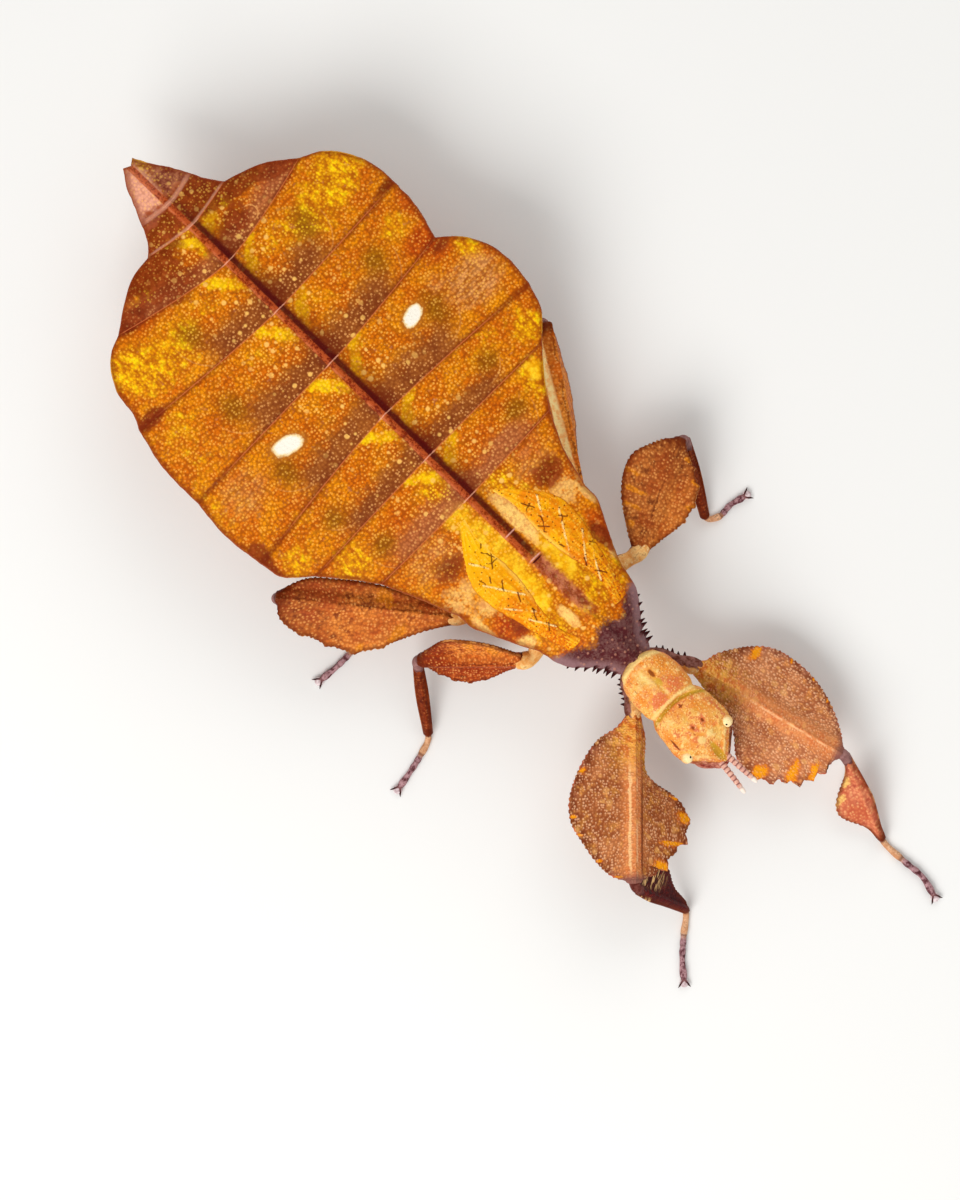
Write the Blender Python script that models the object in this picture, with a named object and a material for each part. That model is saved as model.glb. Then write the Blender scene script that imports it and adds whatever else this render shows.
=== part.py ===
"""Leaf insect: the solids of a still, life-size model that stands on its own six feet.

Sizes are in millimetres and become metres when a mesh is made. A place is written as
(along, side, height): along runs from the tip of the abdomen towards the head, side is positive
on the insect's left, and height is measured from the floor.
"""
import math

import bmesh
import bpy
import numpy as np

MM = 0.001
GAP = 0.3
MIDLINE_X = 3.0
TAIL_Y = 55.0
SMOOTH_ANGLE = math.radians(40)

# The thin leaf of the abdomen, and the edge it thins to
LAMINA = 0.56
LAMINA_EDGE = 0.40
RIDGE_HEIGHT = 0.45
RIDGE_WIDTH = 0.55
GROOVE_DEPTH = 0.12
BELLY_ROUNDNESS = 0.6

# Trunk: height of the back along the midline, fall of the margin, depth and half width of the belly
BACK_HEIGHT = ((-0.3, 11.5), (8.0, 12.3), (25.0, 12.9), (45.0, 12.5), (55.0, 12.1), (70.5, 12.0))
MARGIN_FALL = ((-0.3, 0.3), (8.0, 0.9), (25.0, 1.0), (45.0, 0.8), (55.0, 0.8), (62.0, 1.7), (70.5, 2.2))
BELLY_DEPTH = ((-0.3, 0.3), (8.0, 1.2), (25.0, 2.0), (45.0, 3.0), (55.0, 3.6), (64.0, 4.4), (70.5, 4.2))
BELLY_HALF = ((-0.3, 0.6), (8.0, 1.9), (25.0, 3.0), (45.0, 3.7), (55.0, 3.9), (64.0, 4.3), (70.5, 2.3))

# Abdomen segments from the tip to the thorax: where the front line of each crosses the midline,
# and the points of its left and right margins, rear to front, as (along, side)
TIP_MIDLINE = 0.5
TIP_MARGINS = ((-0.3, 0.6), (-0.2, -0.7))
SEGMENTS = (
    (5.6, ((1.4, 1.5), (3.2, 2.65), (4.8, 3.5)), ((1.2, -1.7), (3.2, -2.6), (5.0, -3.4))),
    (8.8, ((6.6, 4.4), (7.9, 5.35)), ((6.75, -4.3), (7.8, -5.35))),
    (13.9, ((8.35, 6.8), (9.4, 9.3), (11.6, 12.2)), ((8.1, -7.8), (9.15, -9.95), (11.1, -12.9))),
    (20.8, ((12.85, 14.4), (14.8, 15.9), (17.6, 16.95), (20.1, 17.1)),
     ((11.8, -14.6), (14.8, -16.95), (18.3, -17.7), (19.2, -18.2))),
    (28.2, ((22.8, 17.0), (26.8, 16.0)), ((23.5, -19.2), (28.4, -19.3))),
    (35.6, ((28.45, 17.75), (31.2, 19.25), (33.9, 19.6), (36.7, 19.25)),
     ((32.8, -19.7), (37.2, -19.2))),
    (41.6, ((39.2, 18.35), (41.7, 15.95)), ((39.1, -18.9), (41.9, -16.3))),
    (47.3, ((44.4, 13.6), (46.95, 11.7)), ((44.6, -14.1), (47.1, -12.3))),
    (54.85, ((51.0, 9.8), (54.85, 8.8)), ((51.2, -10.6), (54.85, -9.2))),
)
SEGMENT_ROWS = (0.0, 0.09, 0.36, 0.64, 0.91)
LINE_BEND = 1.4
INNER_COLUMNS = (0.45, 1.0, 2.3, 3.9)
OUTER_COLUMNS = (0.34, 0.67, 0.92, 1.0)

# Thorax margins as (along, side), rear to front
META_LEFT = ((55.15, 8.8), (56.4, 8.75), (58.0, 8.0), (60.0, 7.0), (61.4, 6.3), (63.0, 5.7), (64.85, 5.3))
META_RIGHT = ((55.15, -9.2), (56.4, -9.1), (58.0, -8.5), (60.0, -7.6), (61.4, -6.9), (63.0, -6.1),
              (64.85, -5.7))
META_ROWS = 9
MESO_LEFT = ((65.15, 5.2), (66.5, 4.4), (68.0, 3.2), (69.2, 2.4), (69.95, 2.3))
MESO_RIGHT = ((65.15, -5.6), (66.5, -4.9), (68.0, -3.5), (69.2, -2.6), (69.95, -2.4))
MESO_ROWS = 7

# Spines of the middle thorax: along, height above its margin and length, the same on both sides.
# A spine leans towards the head and up by shares of its length, and its root is sunk in.
MESO_SPINES = ((66.6, 0.1, 0.45), (67.5, 0.3, 0.7), (68.4, 0.1, 0.9), (68.9, 0.7, 0.8), (69.4, 0.1, 0.95),
               (69.75, 0.5, 0.75))
SPINE_RADIUS = 0.2
SPINE_SIDES = 5
SPINE_SINK = 0.45
SPINE_INSET = 0.6
SPINE_FORWARD = 0.15
SPINE_LIFT = 0.25

# Wing pads: inner and outer edges of the left one as (along, side), tip to root
PAD_INNER = ((48.6, 1.9), (51.1, 2.25), (53.9, 2.3), (57.2, 2.45), (60.1, 3.0), (62.7, 3.1), (65.0, 2.4))
PAD_OUTER = ((48.6, 2.6), (50.4, 4.3), (53.0, 6.0), (56.1, 6.3), (58.8, 5.7), (61.8, 5.0), (65.0, 4.0))
PAD_ROWS = 12
PAD_THICKNESS = 0.5
PAD_GAP = 0.33
PAD_ARCH = 0.35
VEIN_HEIGHT = 0.22
VEIN_FADE = 3.0
# Columns of a pad from its inner to its outer edge, and which of them are veins
PAD_COLUMNS = ((0.0, 0), (0.14, 0), (0.27, 1), (0.4, 0), (0.53, 1), (0.66, 0), (0.79, 1), (0.91, 0),
               (1.0, 0))

# Head and front thorax share an axis that turns a little to the insect's right
AXIS_START = (70.35, -0.15)
AXIS_TURN = math.radians(-3)
ROUND_SIDES = 18
SQUARENESS = 2.4
# Stations: distance along the axis, half width, top and bottom
PROTHORAX = (
    (0.0, 1.9, 11.9, 8.7), (0.4, 2.4, 12.25, 8.5), (1.0, 2.7, 11.95, 8.4), (2.6, 2.98, 12.15, 8.3),
    (4.4, 2.95, 12.1, 8.3), (5.1, 2.85, 11.8, 8.4), (5.6, 2.8, 11.65, 8.5),
)
HEAD = (
    (5.95, 2.85, 11.6, 8.4), (6.5, 3.05, 11.85, 8.3), (7.8, 3.3, 12.2, 8.1), (9.2, 3.45, 12.2, 8.0),
    (10.4, 3.3, 11.9, 7.9), (11.4, 2.8, 11.4, 7.9), (12.3, 2.05, 10.8, 7.9), (13.0, 1.3, 10.2, 8.0),
    (13.5, 0.75, 9.7, 8.2),
)
EYE_PLACE = (10.75, 2.8, 10.35)
EYE_RADIUS = 0.62
MOUTH = ((10.8, 1.5, 7.5, 6.7), (11.6, 2.0, 7.55, 6.3), (12.6, 1.9, 7.6, 6.3), (13.3, 1.3, 7.6, 6.5),
         (13.7, 0.8, 7.55, 6.8))
MOUTH_SHIFT = -0.45
EYE_FACETING = 2
ANTENNA_START = (13.87, 0.5, 9.35)
ANTENNA_REACH = ((1.0, 0.08, 0.25), (3.3, 0.3, 0.4))
ANTENNA_RADIUS = 0.34
ANTENNA_JOINTS = 8
ANTENNA_WAIST = 0.8
ANTENNA_TAPER = 0.35
ANTENNA_SIDES = 8

# Femora: true length, and the edges of the blade away from the tibia and on the tibia's side as
# (distance from root, width), then the teeth of the second edge as (share of its length, height)
FORE_TEETH = ((0.62, 0.4), (0.70, 0.75), (0.77, 0.5), (0.85, 0.9), (0.92, 0.6))
FEMORA = {
    "fore_left": (
        16.5,
        ((0.0, 0.7), (0.6, 1.1), (1.3, 2.3), (2.4, 3.5), (3.7, 4.7), (5.0, 5.55), (6.4, 6.0), (8.0, 6.0),
         (9.8, 5.7), (11.8, 4.9), (13.6, 3.7), (15.3, 2.1), (16.3, 0.8)),
        ((0.0, 0.7), (4.4, 1.0), (5.6, 1.9), (6.8, 3.8), (8.3, 5.9), (9.8, 6.45), (11.3, 6.35), (12.6, 5.5),
         (13.9, 4.85), (15.0, 3.85), (15.7, 2.5), (16.3, 0.9)),
        FORE_TEETH,
    ),
    "fore_right": (
        16.9,
        ((0.0, 0.7), (1.2, 1.5), (2.6, 3.5), (4.4, 4.8), (6.5, 5.8), (9.2, 6.4), (10.8, 6.2), (12.9, 5.0),
         (14.6, 3.8), (16.0, 2.4), (16.7, 0.8)),
        ((0.0, 0.8), (2.0, 1.3), (6.2, 1.7), (7.0, 2.7), (7.9, 4.5), (9.2, 6.0), (11.0, 6.4), (12.2, 5.8),
         (13.4, 4.9), (14.5, 3.9), (15.5, 2.7), (16.7, 0.9)),
        FORE_TEETH,
    ),
    "mid": (
        12.7,
        ((0.0, 0.7), (2.1, 2.0), (3.7, 2.95), (5.4, 3.75), (7.4, 4.2), (9.4, 4.0), (11.1, 2.6), (12.3, 1.2),
         (12.6, 0.7)),
        ((0.0, 0.7), (2.0, 1.7), (4.3, 3.0), (6.2, 3.5), (8.2, 3.4), (10.1, 2.3), (11.8, 1.1), (12.6, 0.7)),
        ((0.38, 0.25), (0.52, 0.3), (0.66, 0.3)),
    ),
    "hind": (
        18.0,
        ((0.0, 0.8), (4.0, 1.5), (8.0, 2.3), (12.0, 2.4), (15.2, 2.1), (16.8, 1.3), (17.8, 0.7)),
        ((0.0, 0.8), (2.6, 1.6), (5.3, 2.9), (8.0, 4.2), (9.8, 4.6), (12.0, 4.2), (14.0, 3.6), (16.3, 2.9),
         (17.4, 1.9), (17.8, 0.8)),
        ((0.52, 0.25), (0.66, 0.3), (0.8, 0.3)),
    ),
}
FEMUR_ROWS = {"fore": 17, "mid": 13, "hind": 14}
FEMUR_SHAFT = 0.72
LEAF = 0.56
BLADE_EDGE = 0.4
ROUND_HALF_WAY = 0.87
# Half length of a tooth's foot as a share of the edge, and the clear stretch beside it
TOOTH_HALF = 0.028
TOOTH_CLEAR = 0.036
SHAFT_SHARE = 0.9

# Tibiae: true length and the edges of their blades, with no teeth
TIBIAE = {
    "fore": (
        9.7,
        ((0.0, 0.5), (3.6, 0.85), (5.2, 0.95), (6.8, 0.75), (8.5, 0.5), (9.7, 0.45)),
        ((0.0, 0.5), (1.2, 0.5), (2.7, 1.3), (4.1, 2.4), (5.1, 2.95), (5.9, 3.0), (6.8, 2.3), (7.6, 1.4),
         (8.5, 0.8), (9.7, 0.45)),
        (),
    ),
    "mid": (9.5, ((0.0, 0.5), (4.0, 0.7), (9.5, 0.5)), ((0.0, 0.5), (4.0, 0.65), (9.5, 0.5)), ()),
    "hind": (11.0, ((0.0, 0.55), (5.0, 0.8), (11.0, 0.5)), ((0.0, 0.55), (5.0, 0.7), (11.0, 0.5)), ()),
}
TIBIA_SHAFT = 0.46
TIBIA_ROWS = {"fore": 12, "mid": 5, "hind": 5}
# Columns of a blade between its shaft and its edge, as shares of the way
LEAF_COLUMNS = (0.4, 0.8)

# Legs: coxa, femur and tibia from end to end, the path of the foot along the floor, and how far
# the two blades of the femur and then of the tibia rise above level, in degrees
LEGS = {
    "fore_left": (((71.4, 1.5, 7.0), (74.9, 3.5, 7.2)), ((75.35, 3.8, 7.2), (92.1, 7.8, 5.8)),
                  ((92.6, 7.95, 5.5), (101.5, 4.7, 1.0)),
                  ((102.0, 4.6), (105.0, 4.65), (107.4, 4.8), (109.4, 4.3)), (-20, -12), (15, -15)),
    "fore_right": (((71.2, -1.6, 7.0), (73.95, -3.75, 7.4)), ((74.25, -4.05, 7.5), (86.0, -16.1, 9.3)),
                   ((86.8, -16.2, 8.7), (92.3, -14.5, 1.0)),
                   ((92.7, -14.8), (94.2, -16.7), (95.9, -18.6), (97.25, -19.75)), (0, -30), (15, -15)),
    "mid_left": (((62.4, 4.9, 7.4), (63.1, 7.05, 7.3)), ((63.2, 8.0, 7.3), (58.3, 19.1, 6.7)),
                 ((58.9, 19.4, 5.2), (65.6, 15.6, 1.0)),
                 ((66.05, 15.65), (66.7, 16.6), (66.7, 18.2), (67.1, 19.8)), (8, -8), (0, 0)),
    "mid_right": (((62.4, -4.9, 7.4), (62.95, -6.85, 7.3)), ((62.6, -7.75, 7.3), (55.0, -15.2, 6.9)),
                  ((55.1, -15.5, 5.2), (60.9, -20.0, 1.0)),
                  ((61.3, -20.4), (62.0, -22.4), (62.4, -24.2), (62.7, -26.0)), (62, -52), (0, 0)),
    "hind_left": (((56.0, 4.9, 7.5), (54.9, 7.6, 7.6)), ((54.5, 8.15, 7.6), (40.4, 17.8, 8.2)),
                  ((40.2, 17.5, 6.8), (34.5, 11.3, 1.0)),
                  ((34.0, 11.1), (32.2, 11.6), (30.6, 12.7), (29.4, 13.9)), (50, -74), (0, 0)),
    "hind_right": (((56.0, -4.9, 7.5), (55.0, -9.0, 7.7)), ((54.6, -9.6, 7.8), (40.4, -20.7, 9.2)),
                   ((40.7, -20.7, 7.7), (48.8, -17.5, 1.0)),
                   ((49.3, -18.05), (49.5, -19.8), (49.5, -21.8), (49.3, -23.7)), (2, -10), (0, 0)),
}
COXA_RADIUS = 0.95
COXA_SIDES = 8
# Rings of a coxa: share of its length and swelling, then where the spines of a fore coxa stand
COXA_RINGS = ((0.0, 0.75), (0.2, 1.0), (0.6, 0.8), (0.75, 0.95), (0.9, 0.9), (1.0, 0.7))
COXA_SPINES = (0.14, 0.36, 0.6)
COXA_SPINE_LENGTH = 0.6
COXA_SPINE_LEAN = 0.5
FOOT_HALF = 0.42
FOOT_HEIGHT = 0.85
FOOT_SIDES = 8
SOLE_REACH = 0.3
# Foot joints: distance along the foot as a share of its length, and swelling there
FOOT_JOINTS = ((0.0, 0.8), (0.16, 0.85), (0.34, 1.05), (0.38, 0.72), (0.48, 1.0), (0.52, 0.72), (0.62, 1.0),
               (0.66, 0.72), (0.8, 0.85), (0.94, 1.15), (1.0, 0.7))
CLAW_LENGTH = 0.95
CLAW_RADIUS = 0.17
CLAW_HEIGHT = 0.4
CLAW_SINK = 0.25
CLAW_DROP = 0.25
CLAW_SPREAD = math.radians(38)

COLOURS = {
    "abdomen": (0.42, 0.15, 0.02), "metathorax": (0.55, 0.24, 0.03), "mesothorax": (0.09, 0.035, 0.04),
    "prothorax": (0.62, 0.29, 0.06), "head": (0.66, 0.30, 0.07), "mouthparts": (0.45, 0.12, 0.05),
    "eye": (0.72, 0.62, 0.36), "antenna": (0.58, 0.25, 0.17), "wing_pad": (0.62, 0.33, 0.03),
    "coxa": (0.60, 0.36, 0.14), "femur": (0.26, 0.085, 0.03), "tibia": (0.22, 0.06, 0.03),
    "tarsus": (0.30, 0.15, 0.08),
}
ROUGHNESS = 0.55


def clear_objects():
    """Remove whatever the file opened with."""
    for thing in list(bpy.data.objects):
        bpy.data.objects.remove(thing)


def make_material(name):
    """The colour of a node, found by the piece of the body that its name starts or ends with."""
    key = next(k for k in COLOURS if k in name)
    material = bpy.data.materials.new(name)
    material.use_nodes = True
    shader = material.node_tree.nodes["Principled BSDF"]
    shader.inputs["Base Color"].default_value = (*COLOURS[key], 1.0)
    shader.inputs["Roughness"].default_value = ROUGHNESS
    shader.inputs["Metallic"].default_value = 0.0
    return material


def to_world(points):
    """Metres in the model's frame for places given as along, side and height in millimetres."""
    points = np.asarray(points, float).reshape(-1, 3)
    return np.column_stack((points[:, 1] + MIDLINE_X, TAIL_Y - points[:, 0], points[:, 2])) * MM


def make_object(name, points, faces):
    """One closed body with its faces pointing out and its own material."""
    mesh = bpy.data.meshes.new(name)
    mesh.from_pydata(to_world(points).tolist(), [], [list(map(int, face)) for face in faces])
    shape = bmesh.new()
    shape.from_mesh(mesh)
    bmesh.ops.recalc_face_normals(shape, faces=shape.faces)
    shape.to_mesh(mesh)
    shape.free()
    thing = bpy.data.objects.new(name, mesh)
    bpy.context.scene.collection.objects.link(thing)
    finish_mesh(thing)
    return thing


def finish_mesh(thing):
    """Smooth shading with the sharp edges kept, and the node's material."""
    thing.data.shade_smooth()
    thing.data.set_sharp_from_angle(angle=SMOOTH_ANGLE)
    thing.data.materials.clear()
    thing.data.materials.append(make_material(thing.name))


def combine(thing, others, operation):
    """Join or cut a node with small closed pieces by one Boolean, then remove those pieces."""
    group = bpy.data.collections.new(thing.name + "_pieces")
    bpy.context.scene.collection.children.link(group)
    for other in others:
        bpy.context.scene.collection.objects.unlink(other)
        group.objects.link(other)
    boolean = thing.modifiers.new("pieces", "BOOLEAN")
    boolean.operation = operation
    boolean.operand_type = "COLLECTION"
    boolean.collection = group
    boolean.solver = "EXACT"
    graph = bpy.context.evaluated_depsgraph_get()
    result = bpy.data.meshes.new_from_object(thing.evaluated_get(graph))
    thing.modifiers.clear()
    thing.data = result
    for other in others:
        bpy.data.objects.remove(other)
    bpy.data.collections.remove(group)
    keep_largest_shell(thing)
    finish_mesh(thing)


def keep_largest_shell(thing):
    """Drop every closed surface of a mesh but the one with the most faces."""
    shape = bmesh.new()
    shape.from_mesh(thing.data)
    left = set(shape.faces)
    shells = []
    while left:
        front = [left.pop()]
        shell = set(front)
        while front:
            face = front.pop()
            near = {other for edge in face.edges for other in edge.link_faces} & left
            left -= near
            shell |= near
            front.extend(near)
        shells.append(shell)
    largest = max(shells, key=len)
    loose = [face for face in shape.faces if face not in largest]
    bmesh.ops.delete(shape, geom=loose, context="FACES")
    shape.to_mesh(thing.data)
    shape.free()


def smooth_table(table, at):
    """Columns of a table after the first, read at places of the first column by a smooth curve."""
    table = np.asarray(table, float)
    knots = table[:, 0]
    values = table[:, 1:]
    slopes = np.gradient(values, knots, axis=0)
    at = np.clip(np.atleast_1d(np.asarray(at, float)), knots[0], knots[-1])
    low = np.clip(np.searchsorted(knots, at, side="right") - 1, 0, len(knots) - 2)
    span = (knots[low + 1] - knots[low])[:, None]
    u = (at - knots[low])[:, None] / span
    start = values[low] * (1 + 2 * u) * (1 - u) ** 2 + slopes[low] * span * u * (1 - u) ** 2
    end = values[low + 1] * u * u * (3 - 2 * u) + slopes[low + 1] * span * u * u * (u - 1)
    return start + end


def read(table, at):
    """One number, or one for each place, from a table of pairs."""
    at = np.asarray(at, float)
    return smooth_table(table, at.ravel())[:, 0].reshape(at.shape)


def smooth_path(points, fractions):
    """Places at the given shares of the length of a smooth curve through the points."""
    points = np.asarray(points, float)
    steps = np.linalg.norm(np.diff(points, axis=0), axis=1)
    knots = np.concatenate(([0.0], np.cumsum(steps))) / steps.sum()
    return smooth_table(np.column_stack((knots, points)), fractions)


def plate(name, top, bottom):
    """A closed body between two grids of points, split into triangles alike on both faces."""
    rows, columns = top.shape[:2]
    count = rows * columns
    index = np.arange(count).reshape(rows, columns)
    a, b = index[:-1, :-1].ravel(), index[1:, :-1].ravel()
    c, d = index[1:, 1:].ravel(), index[:-1, 1:].ravel()
    upper = np.concatenate((np.column_stack((a, b, c)), np.column_stack((a, c, d))))
    lower = upper[:, ::-1] + count
    rim = np.concatenate((index[:, 0], index[-1, 1:], index[-2::-1, -1], index[0, -2:0:-1]))
    following = np.roll(rim, -1)
    wall = np.concatenate((np.column_stack((rim, rim + count, following + count)),
                           np.column_stack((rim, following + count, following))))
    points = np.concatenate((top.reshape(-1, 3), bottom.reshape(-1, 3)))
    return make_object(name, points, np.concatenate((upper, lower, wall)))


def loft(name, rings):
    """A closed body through rings of points, with a flat cap at each end."""
    count, sides = rings.shape[:2]
    index = np.arange(count * sides).reshape(count, sides)
    turned = np.roll(index, -1, axis=1)
    corners = (index[:-1], turned[:-1], turned[1:], index[1:])
    walls = np.column_stack([corner.ravel() for corner in corners])
    faces = walls.tolist() + [index[0, ::-1].tolist(), index[-1].tolist()]
    return make_object(name, rings.reshape(-1, 3), faces)


def column_sides(left, right):
    """Side of each column of a trunk row, from its left margin to its right one."""
    halves = []
    for margin in (left, right):
        half = np.abs(margin)
        fit = np.minimum(1.0, half / (2 * INNER_COLUMNS[-1]))
        inner = np.outer(fit, INNER_COLUMNS)
        outer = inner[:, -1:] + np.outer(half - inner[:, -1], OUTER_COLUMNS)
        halves.append(np.concatenate((inner, outer), axis=1))
    middle = np.zeros((len(left), 1))
    return np.concatenate((halves[0][:, ::-1], middle, -halves[1]), axis=1)


def trunk_surfaces(along, side, half, groove):
    """Upper and lower grids of a stretch of the trunk: a thin leaf with a ridge and a belly."""
    share = np.abs(side) / half
    lamina = read(BACK_HEIGHT, along) - read(MARGIN_FALL, along) * share ** 2
    thickness = LAMINA + (LAMINA_EDGE - LAMINA) * share ** 4
    ridge = RIDGE_HEIGHT * np.exp(-(side / RIDGE_WIDTH) ** 2)
    belly = np.clip(1 - (side / read(BELLY_HALF, along)) ** 2, 0, None) ** BELLY_ROUNDNESS
    top = lamina + thickness / 2 + ridge - groove
    bottom = lamina - thickness / 2 - read(BELLY_DEPTH, along) * belly
    return np.dstack((along, side, top)), np.dstack((along, side, bottom))


def make_abdomen():
    """Nine segments, each with its own bulging margins and a groove at each line between them."""
    midline, left, right, groove = [], [], [], []
    rear_mid, rear = TIP_MIDLINE, TIP_MARGINS
    last = len(SEGMENTS) - 1
    for number, (front_mid, *margins) in enumerate(SEGMENTS):
        fractions = np.array(SEGMENT_ROWS + ((1.0,) if number == last else ()))
        midline.append(rear_mid + (front_mid - rear_mid) * fractions)
        left.append(smooth_path((rear[0],) + margins[0], fractions))
        right.append(smooth_path((rear[1],) + margins[1], fractions))
        line = (fractions == 0) & (number > 0)
        groove.append(np.where(line, GROOVE_DEPTH, 0.0))
        rear_mid, rear = front_mid, (margins[0][-1], margins[1][-1])
    midline, groove = np.concatenate(midline), np.concatenate(groove)
    left, right = np.concatenate(left), np.concatenate(right)
    side = column_sides(left[:, 1], right[:, 1])
    half = np.where(side > 0, left[:, 1:2], -right[:, 1:2])
    margin = np.where(side > 0, left[:, :1], right[:, :1])
    along = midline[:, None] + (margin - midline[:, None]) * (np.abs(side) / half) ** LINE_BEND
    depth = groove[:, None] * (np.abs(side) > RIDGE_WIDTH)
    return plate("abdomen", *trunk_surfaces(along, side, half, depth))


def make_thorax_piece(name, left, right, rows):
    """A stretch of the thorax between two margins."""
    at = np.linspace(left[0][0], left[-1][0], rows)
    left_side = read(left, at)
    right_side = read(right, at)
    side = column_sides(left_side, right_side)
    half = np.where(side > 0, left_side[:, None], -right_side[:, None])
    along = np.repeat(at[:, None], side.shape[1], axis=1)
    return plate(name, *trunk_surfaces(along, side, half, 0.0))


def cone(name, root, tip, radius, sides=SPINE_SIDES):
    """A tapering spine from its root to its tip."""
    root, tip = np.asarray(root, float), np.asarray(tip, float)
    axis = (tip - root) / np.linalg.norm(tip - root)
    across = np.cross(axis, (0.0, 0.0, 1.0) if abs(axis[2]) < 0.9 else (1.0, 0.0, 0.0))
    across /= np.linalg.norm(across)
    upward = np.cross(axis, across)
    turn = np.arange(sides) * 2 * math.pi / sides
    ring = root + radius * (np.outer(np.cos(turn), across) + np.outer(np.sin(turn), upward))
    faces = [[k, (k + 1) % sides, sides] for k in range(sides)] + [list(range(sides))[::-1]]
    return make_object(name, np.vstack((ring, tip)), faces)


def make_mesothorax():
    """The dark middle thorax with a row of spines down each side."""
    body = make_thorax_piece("mesothorax", MESO_LEFT, MESO_RIGHT, MESO_ROWS)
    spines = []
    for margin, sign in ((MESO_LEFT, 1), (MESO_RIGHT, -1)):
        for number, (along, rise, length) in enumerate(MESO_SPINES):
            edge = float(read(margin, along))
            height = float(read(BACK_HEIGHT, along) - read(MARGIN_FALL, along)) + rise
            root = (along, edge - sign * (SPINE_SINK + SPINE_INSET * rise), height)
            tip = (along + SPINE_FORWARD * length, edge + sign * length, height + SPINE_LIFT * length)
            spines.append(cone(f"mesothorax_spine_{sign}_{number}", root, tip, SPINE_RADIUS))
    combine(body, spines, "UNION")


def make_wing_pads():
    """Two short wing pads over the base of the abdomen, with three veins as ridges."""
    at = np.linspace(PAD_INNER[0][0], PAD_INNER[-1][0], PAD_ROWS)
    inner, outer = read(PAD_INNER, at)[:, None], read(PAD_OUTER, at)[:, None]
    share = np.array([place for place, vein in PAD_COLUMNS])
    vein = np.array([raised for place, raised in PAD_COLUMNS])
    side = inner + (outer - inner) * share
    along = np.repeat(at[:, None], len(share), axis=1)
    fade = np.clip((at[:, None] - at[0]) / VEIN_FADE, 0, 1)
    for name, sign, thorax in (("wing_pad_left", 1, META_LEFT), ("wing_pad_right", -1, META_RIGHT)):
        margin = 1 if sign > 0 else 2
        beside = (SEGMENTS[-2][margin][-1],) + SEGMENTS[-1][margin] + thorax[1:]
        half = np.abs(read(beside, at))[:, None]
        skin = read(BACK_HEIGHT, along) - read(MARGIN_FALL, along) * (side / half) ** 2 + LAMINA / 2
        skin += RIDGE_HEIGHT * np.exp(-(side / RIDGE_WIDTH) ** 2)
        under = skin + PAD_GAP + PAD_ARCH * np.sin(math.pi * share)
        top = under + PAD_THICKNESS + VEIN_HEIGHT * vein * fade
        plate(name, np.dstack((along, sign * side, top)), np.dstack((along, sign * side, under)))


def axis_point(distance, side):
    """Along and side of places at a distance along the head's axis and to its side."""
    forward = np.array((math.cos(AXIS_TURN), math.sin(AXIS_TURN)))
    across = np.array((-forward[1], forward[0]))
    distance, side = np.broadcast_arrays(distance, side)
    return np.asarray(AXIS_START) + distance[..., None] * forward + side[..., None] * across


def round_rings(stations):
    """Rings of rounded square section across the head's axis."""
    stations = np.asarray(stations, float)
    turn = np.arange(ROUND_SIDES) * 2 * math.pi / ROUND_SIDES
    across = np.sign(np.cos(turn)) * np.abs(np.cos(turn)) ** (2 / SQUARENESS)
    upward = np.sign(np.sin(turn)) * np.abs(np.sin(turn)) ** (2 / SQUARENESS)
    distance, half, top, bottom = (stations[:, k:k + 1] for k in range(4))
    height = (top + bottom) / 2 + (top - bottom) / 2 * upward
    return np.dstack((axis_point(distance, half * across), height))


def ball(name, centre, radius):
    """A round ball of a few hundred triangles."""
    shape = bmesh.new()
    bmesh.ops.create_icosphere(shape, subdivisions=EYE_FACETING, radius=radius)
    points = np.array([corner.co for corner in shape.verts]) + np.asarray(centre)
    faces = [[corner.index for corner in face.verts] for face in shape.faces]
    shape.free()
    return make_object(name, points, faces)


def make_head():
    """Front thorax, head with a cup for each eye, eyes, mouthparts and antennae."""
    loft("prothorax", round_rings(PROTHORAX))
    head = loft("head", round_rings(HEAD))
    loft("mouthparts", round_rings(MOUTH) + (0.0, MOUTH_SHIFT, 0.0))
    cups = []
    for name, sign in (("left", 1), ("right", -1)):
        distance, side, height = EYE_PLACE
        centre = (*axis_point(distance, sign * side), height)
        ball("eye_" + name, centre, EYE_RADIUS)
        cups.append(ball("eye_cup_" + name, centre, EYE_RADIUS + GAP))
        distance, side, height = ANTENNA_START
        path = [(*axis_point(distance, sign * side), height)]
        for reach, spread, rise in ANTENNA_REACH:
            path.append((*axis_point(distance + reach, sign * (side + spread)), height + rise))
        fractions = np.linspace(0, 1, 2 * ANTENNA_JOINTS + 1)
        swelling = np.where(np.arange(len(fractions)) % 2, 1.0, ANTENNA_WAIST)
        radii = ANTENNA_RADIUS * swelling * (1 - ANTENNA_TAPER * fractions ** 4)
        loft("antenna_" + name, tube_rings(path, fractions, radii, ANTENNA_SIDES))
    combine(head, cups, "DIFFERENCE")


def tube_rings(path, fractions, radii, sides):
    """Round rings across a path."""
    centres = smooth_path(path, fractions)
    tangents = np.gradient(centres, axis=0)
    tangents /= np.linalg.norm(tangents, axis=1)[:, None]
    across = np.cross(tangents, (0.0, 0.0, 1.0))
    across /= np.linalg.norm(across, axis=1)[:, None]
    upward = np.cross(across, tangents)
    turn = np.arange(sides) * 2 * math.pi / sides
    spread = across[:, None] * np.cos(turn)[None, :, None] + upward[:, None] * np.sin(turn)[None, :, None]
    return centres[:, None] + spread * np.broadcast_to(radii, len(fractions))[:, None, None]


def blade_edge(table, scale, shares, teeth):
    """Points of a blade's edge as distance and width, with each tooth standing out from it."""
    points = smooth_path(np.asarray(table, float), shares)
    slope = np.gradient(points, shares, axis=0)
    outward = np.column_stack((-slope[:, 1], slope[:, 0])) / np.linalg.norm(slope, axis=1)[:, None]
    for place, height in teeth:
        points = points + outward * np.where(np.isclose(shares, place), height, 0.0)[:, None]
    return points * (scale, 1.0)


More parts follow.
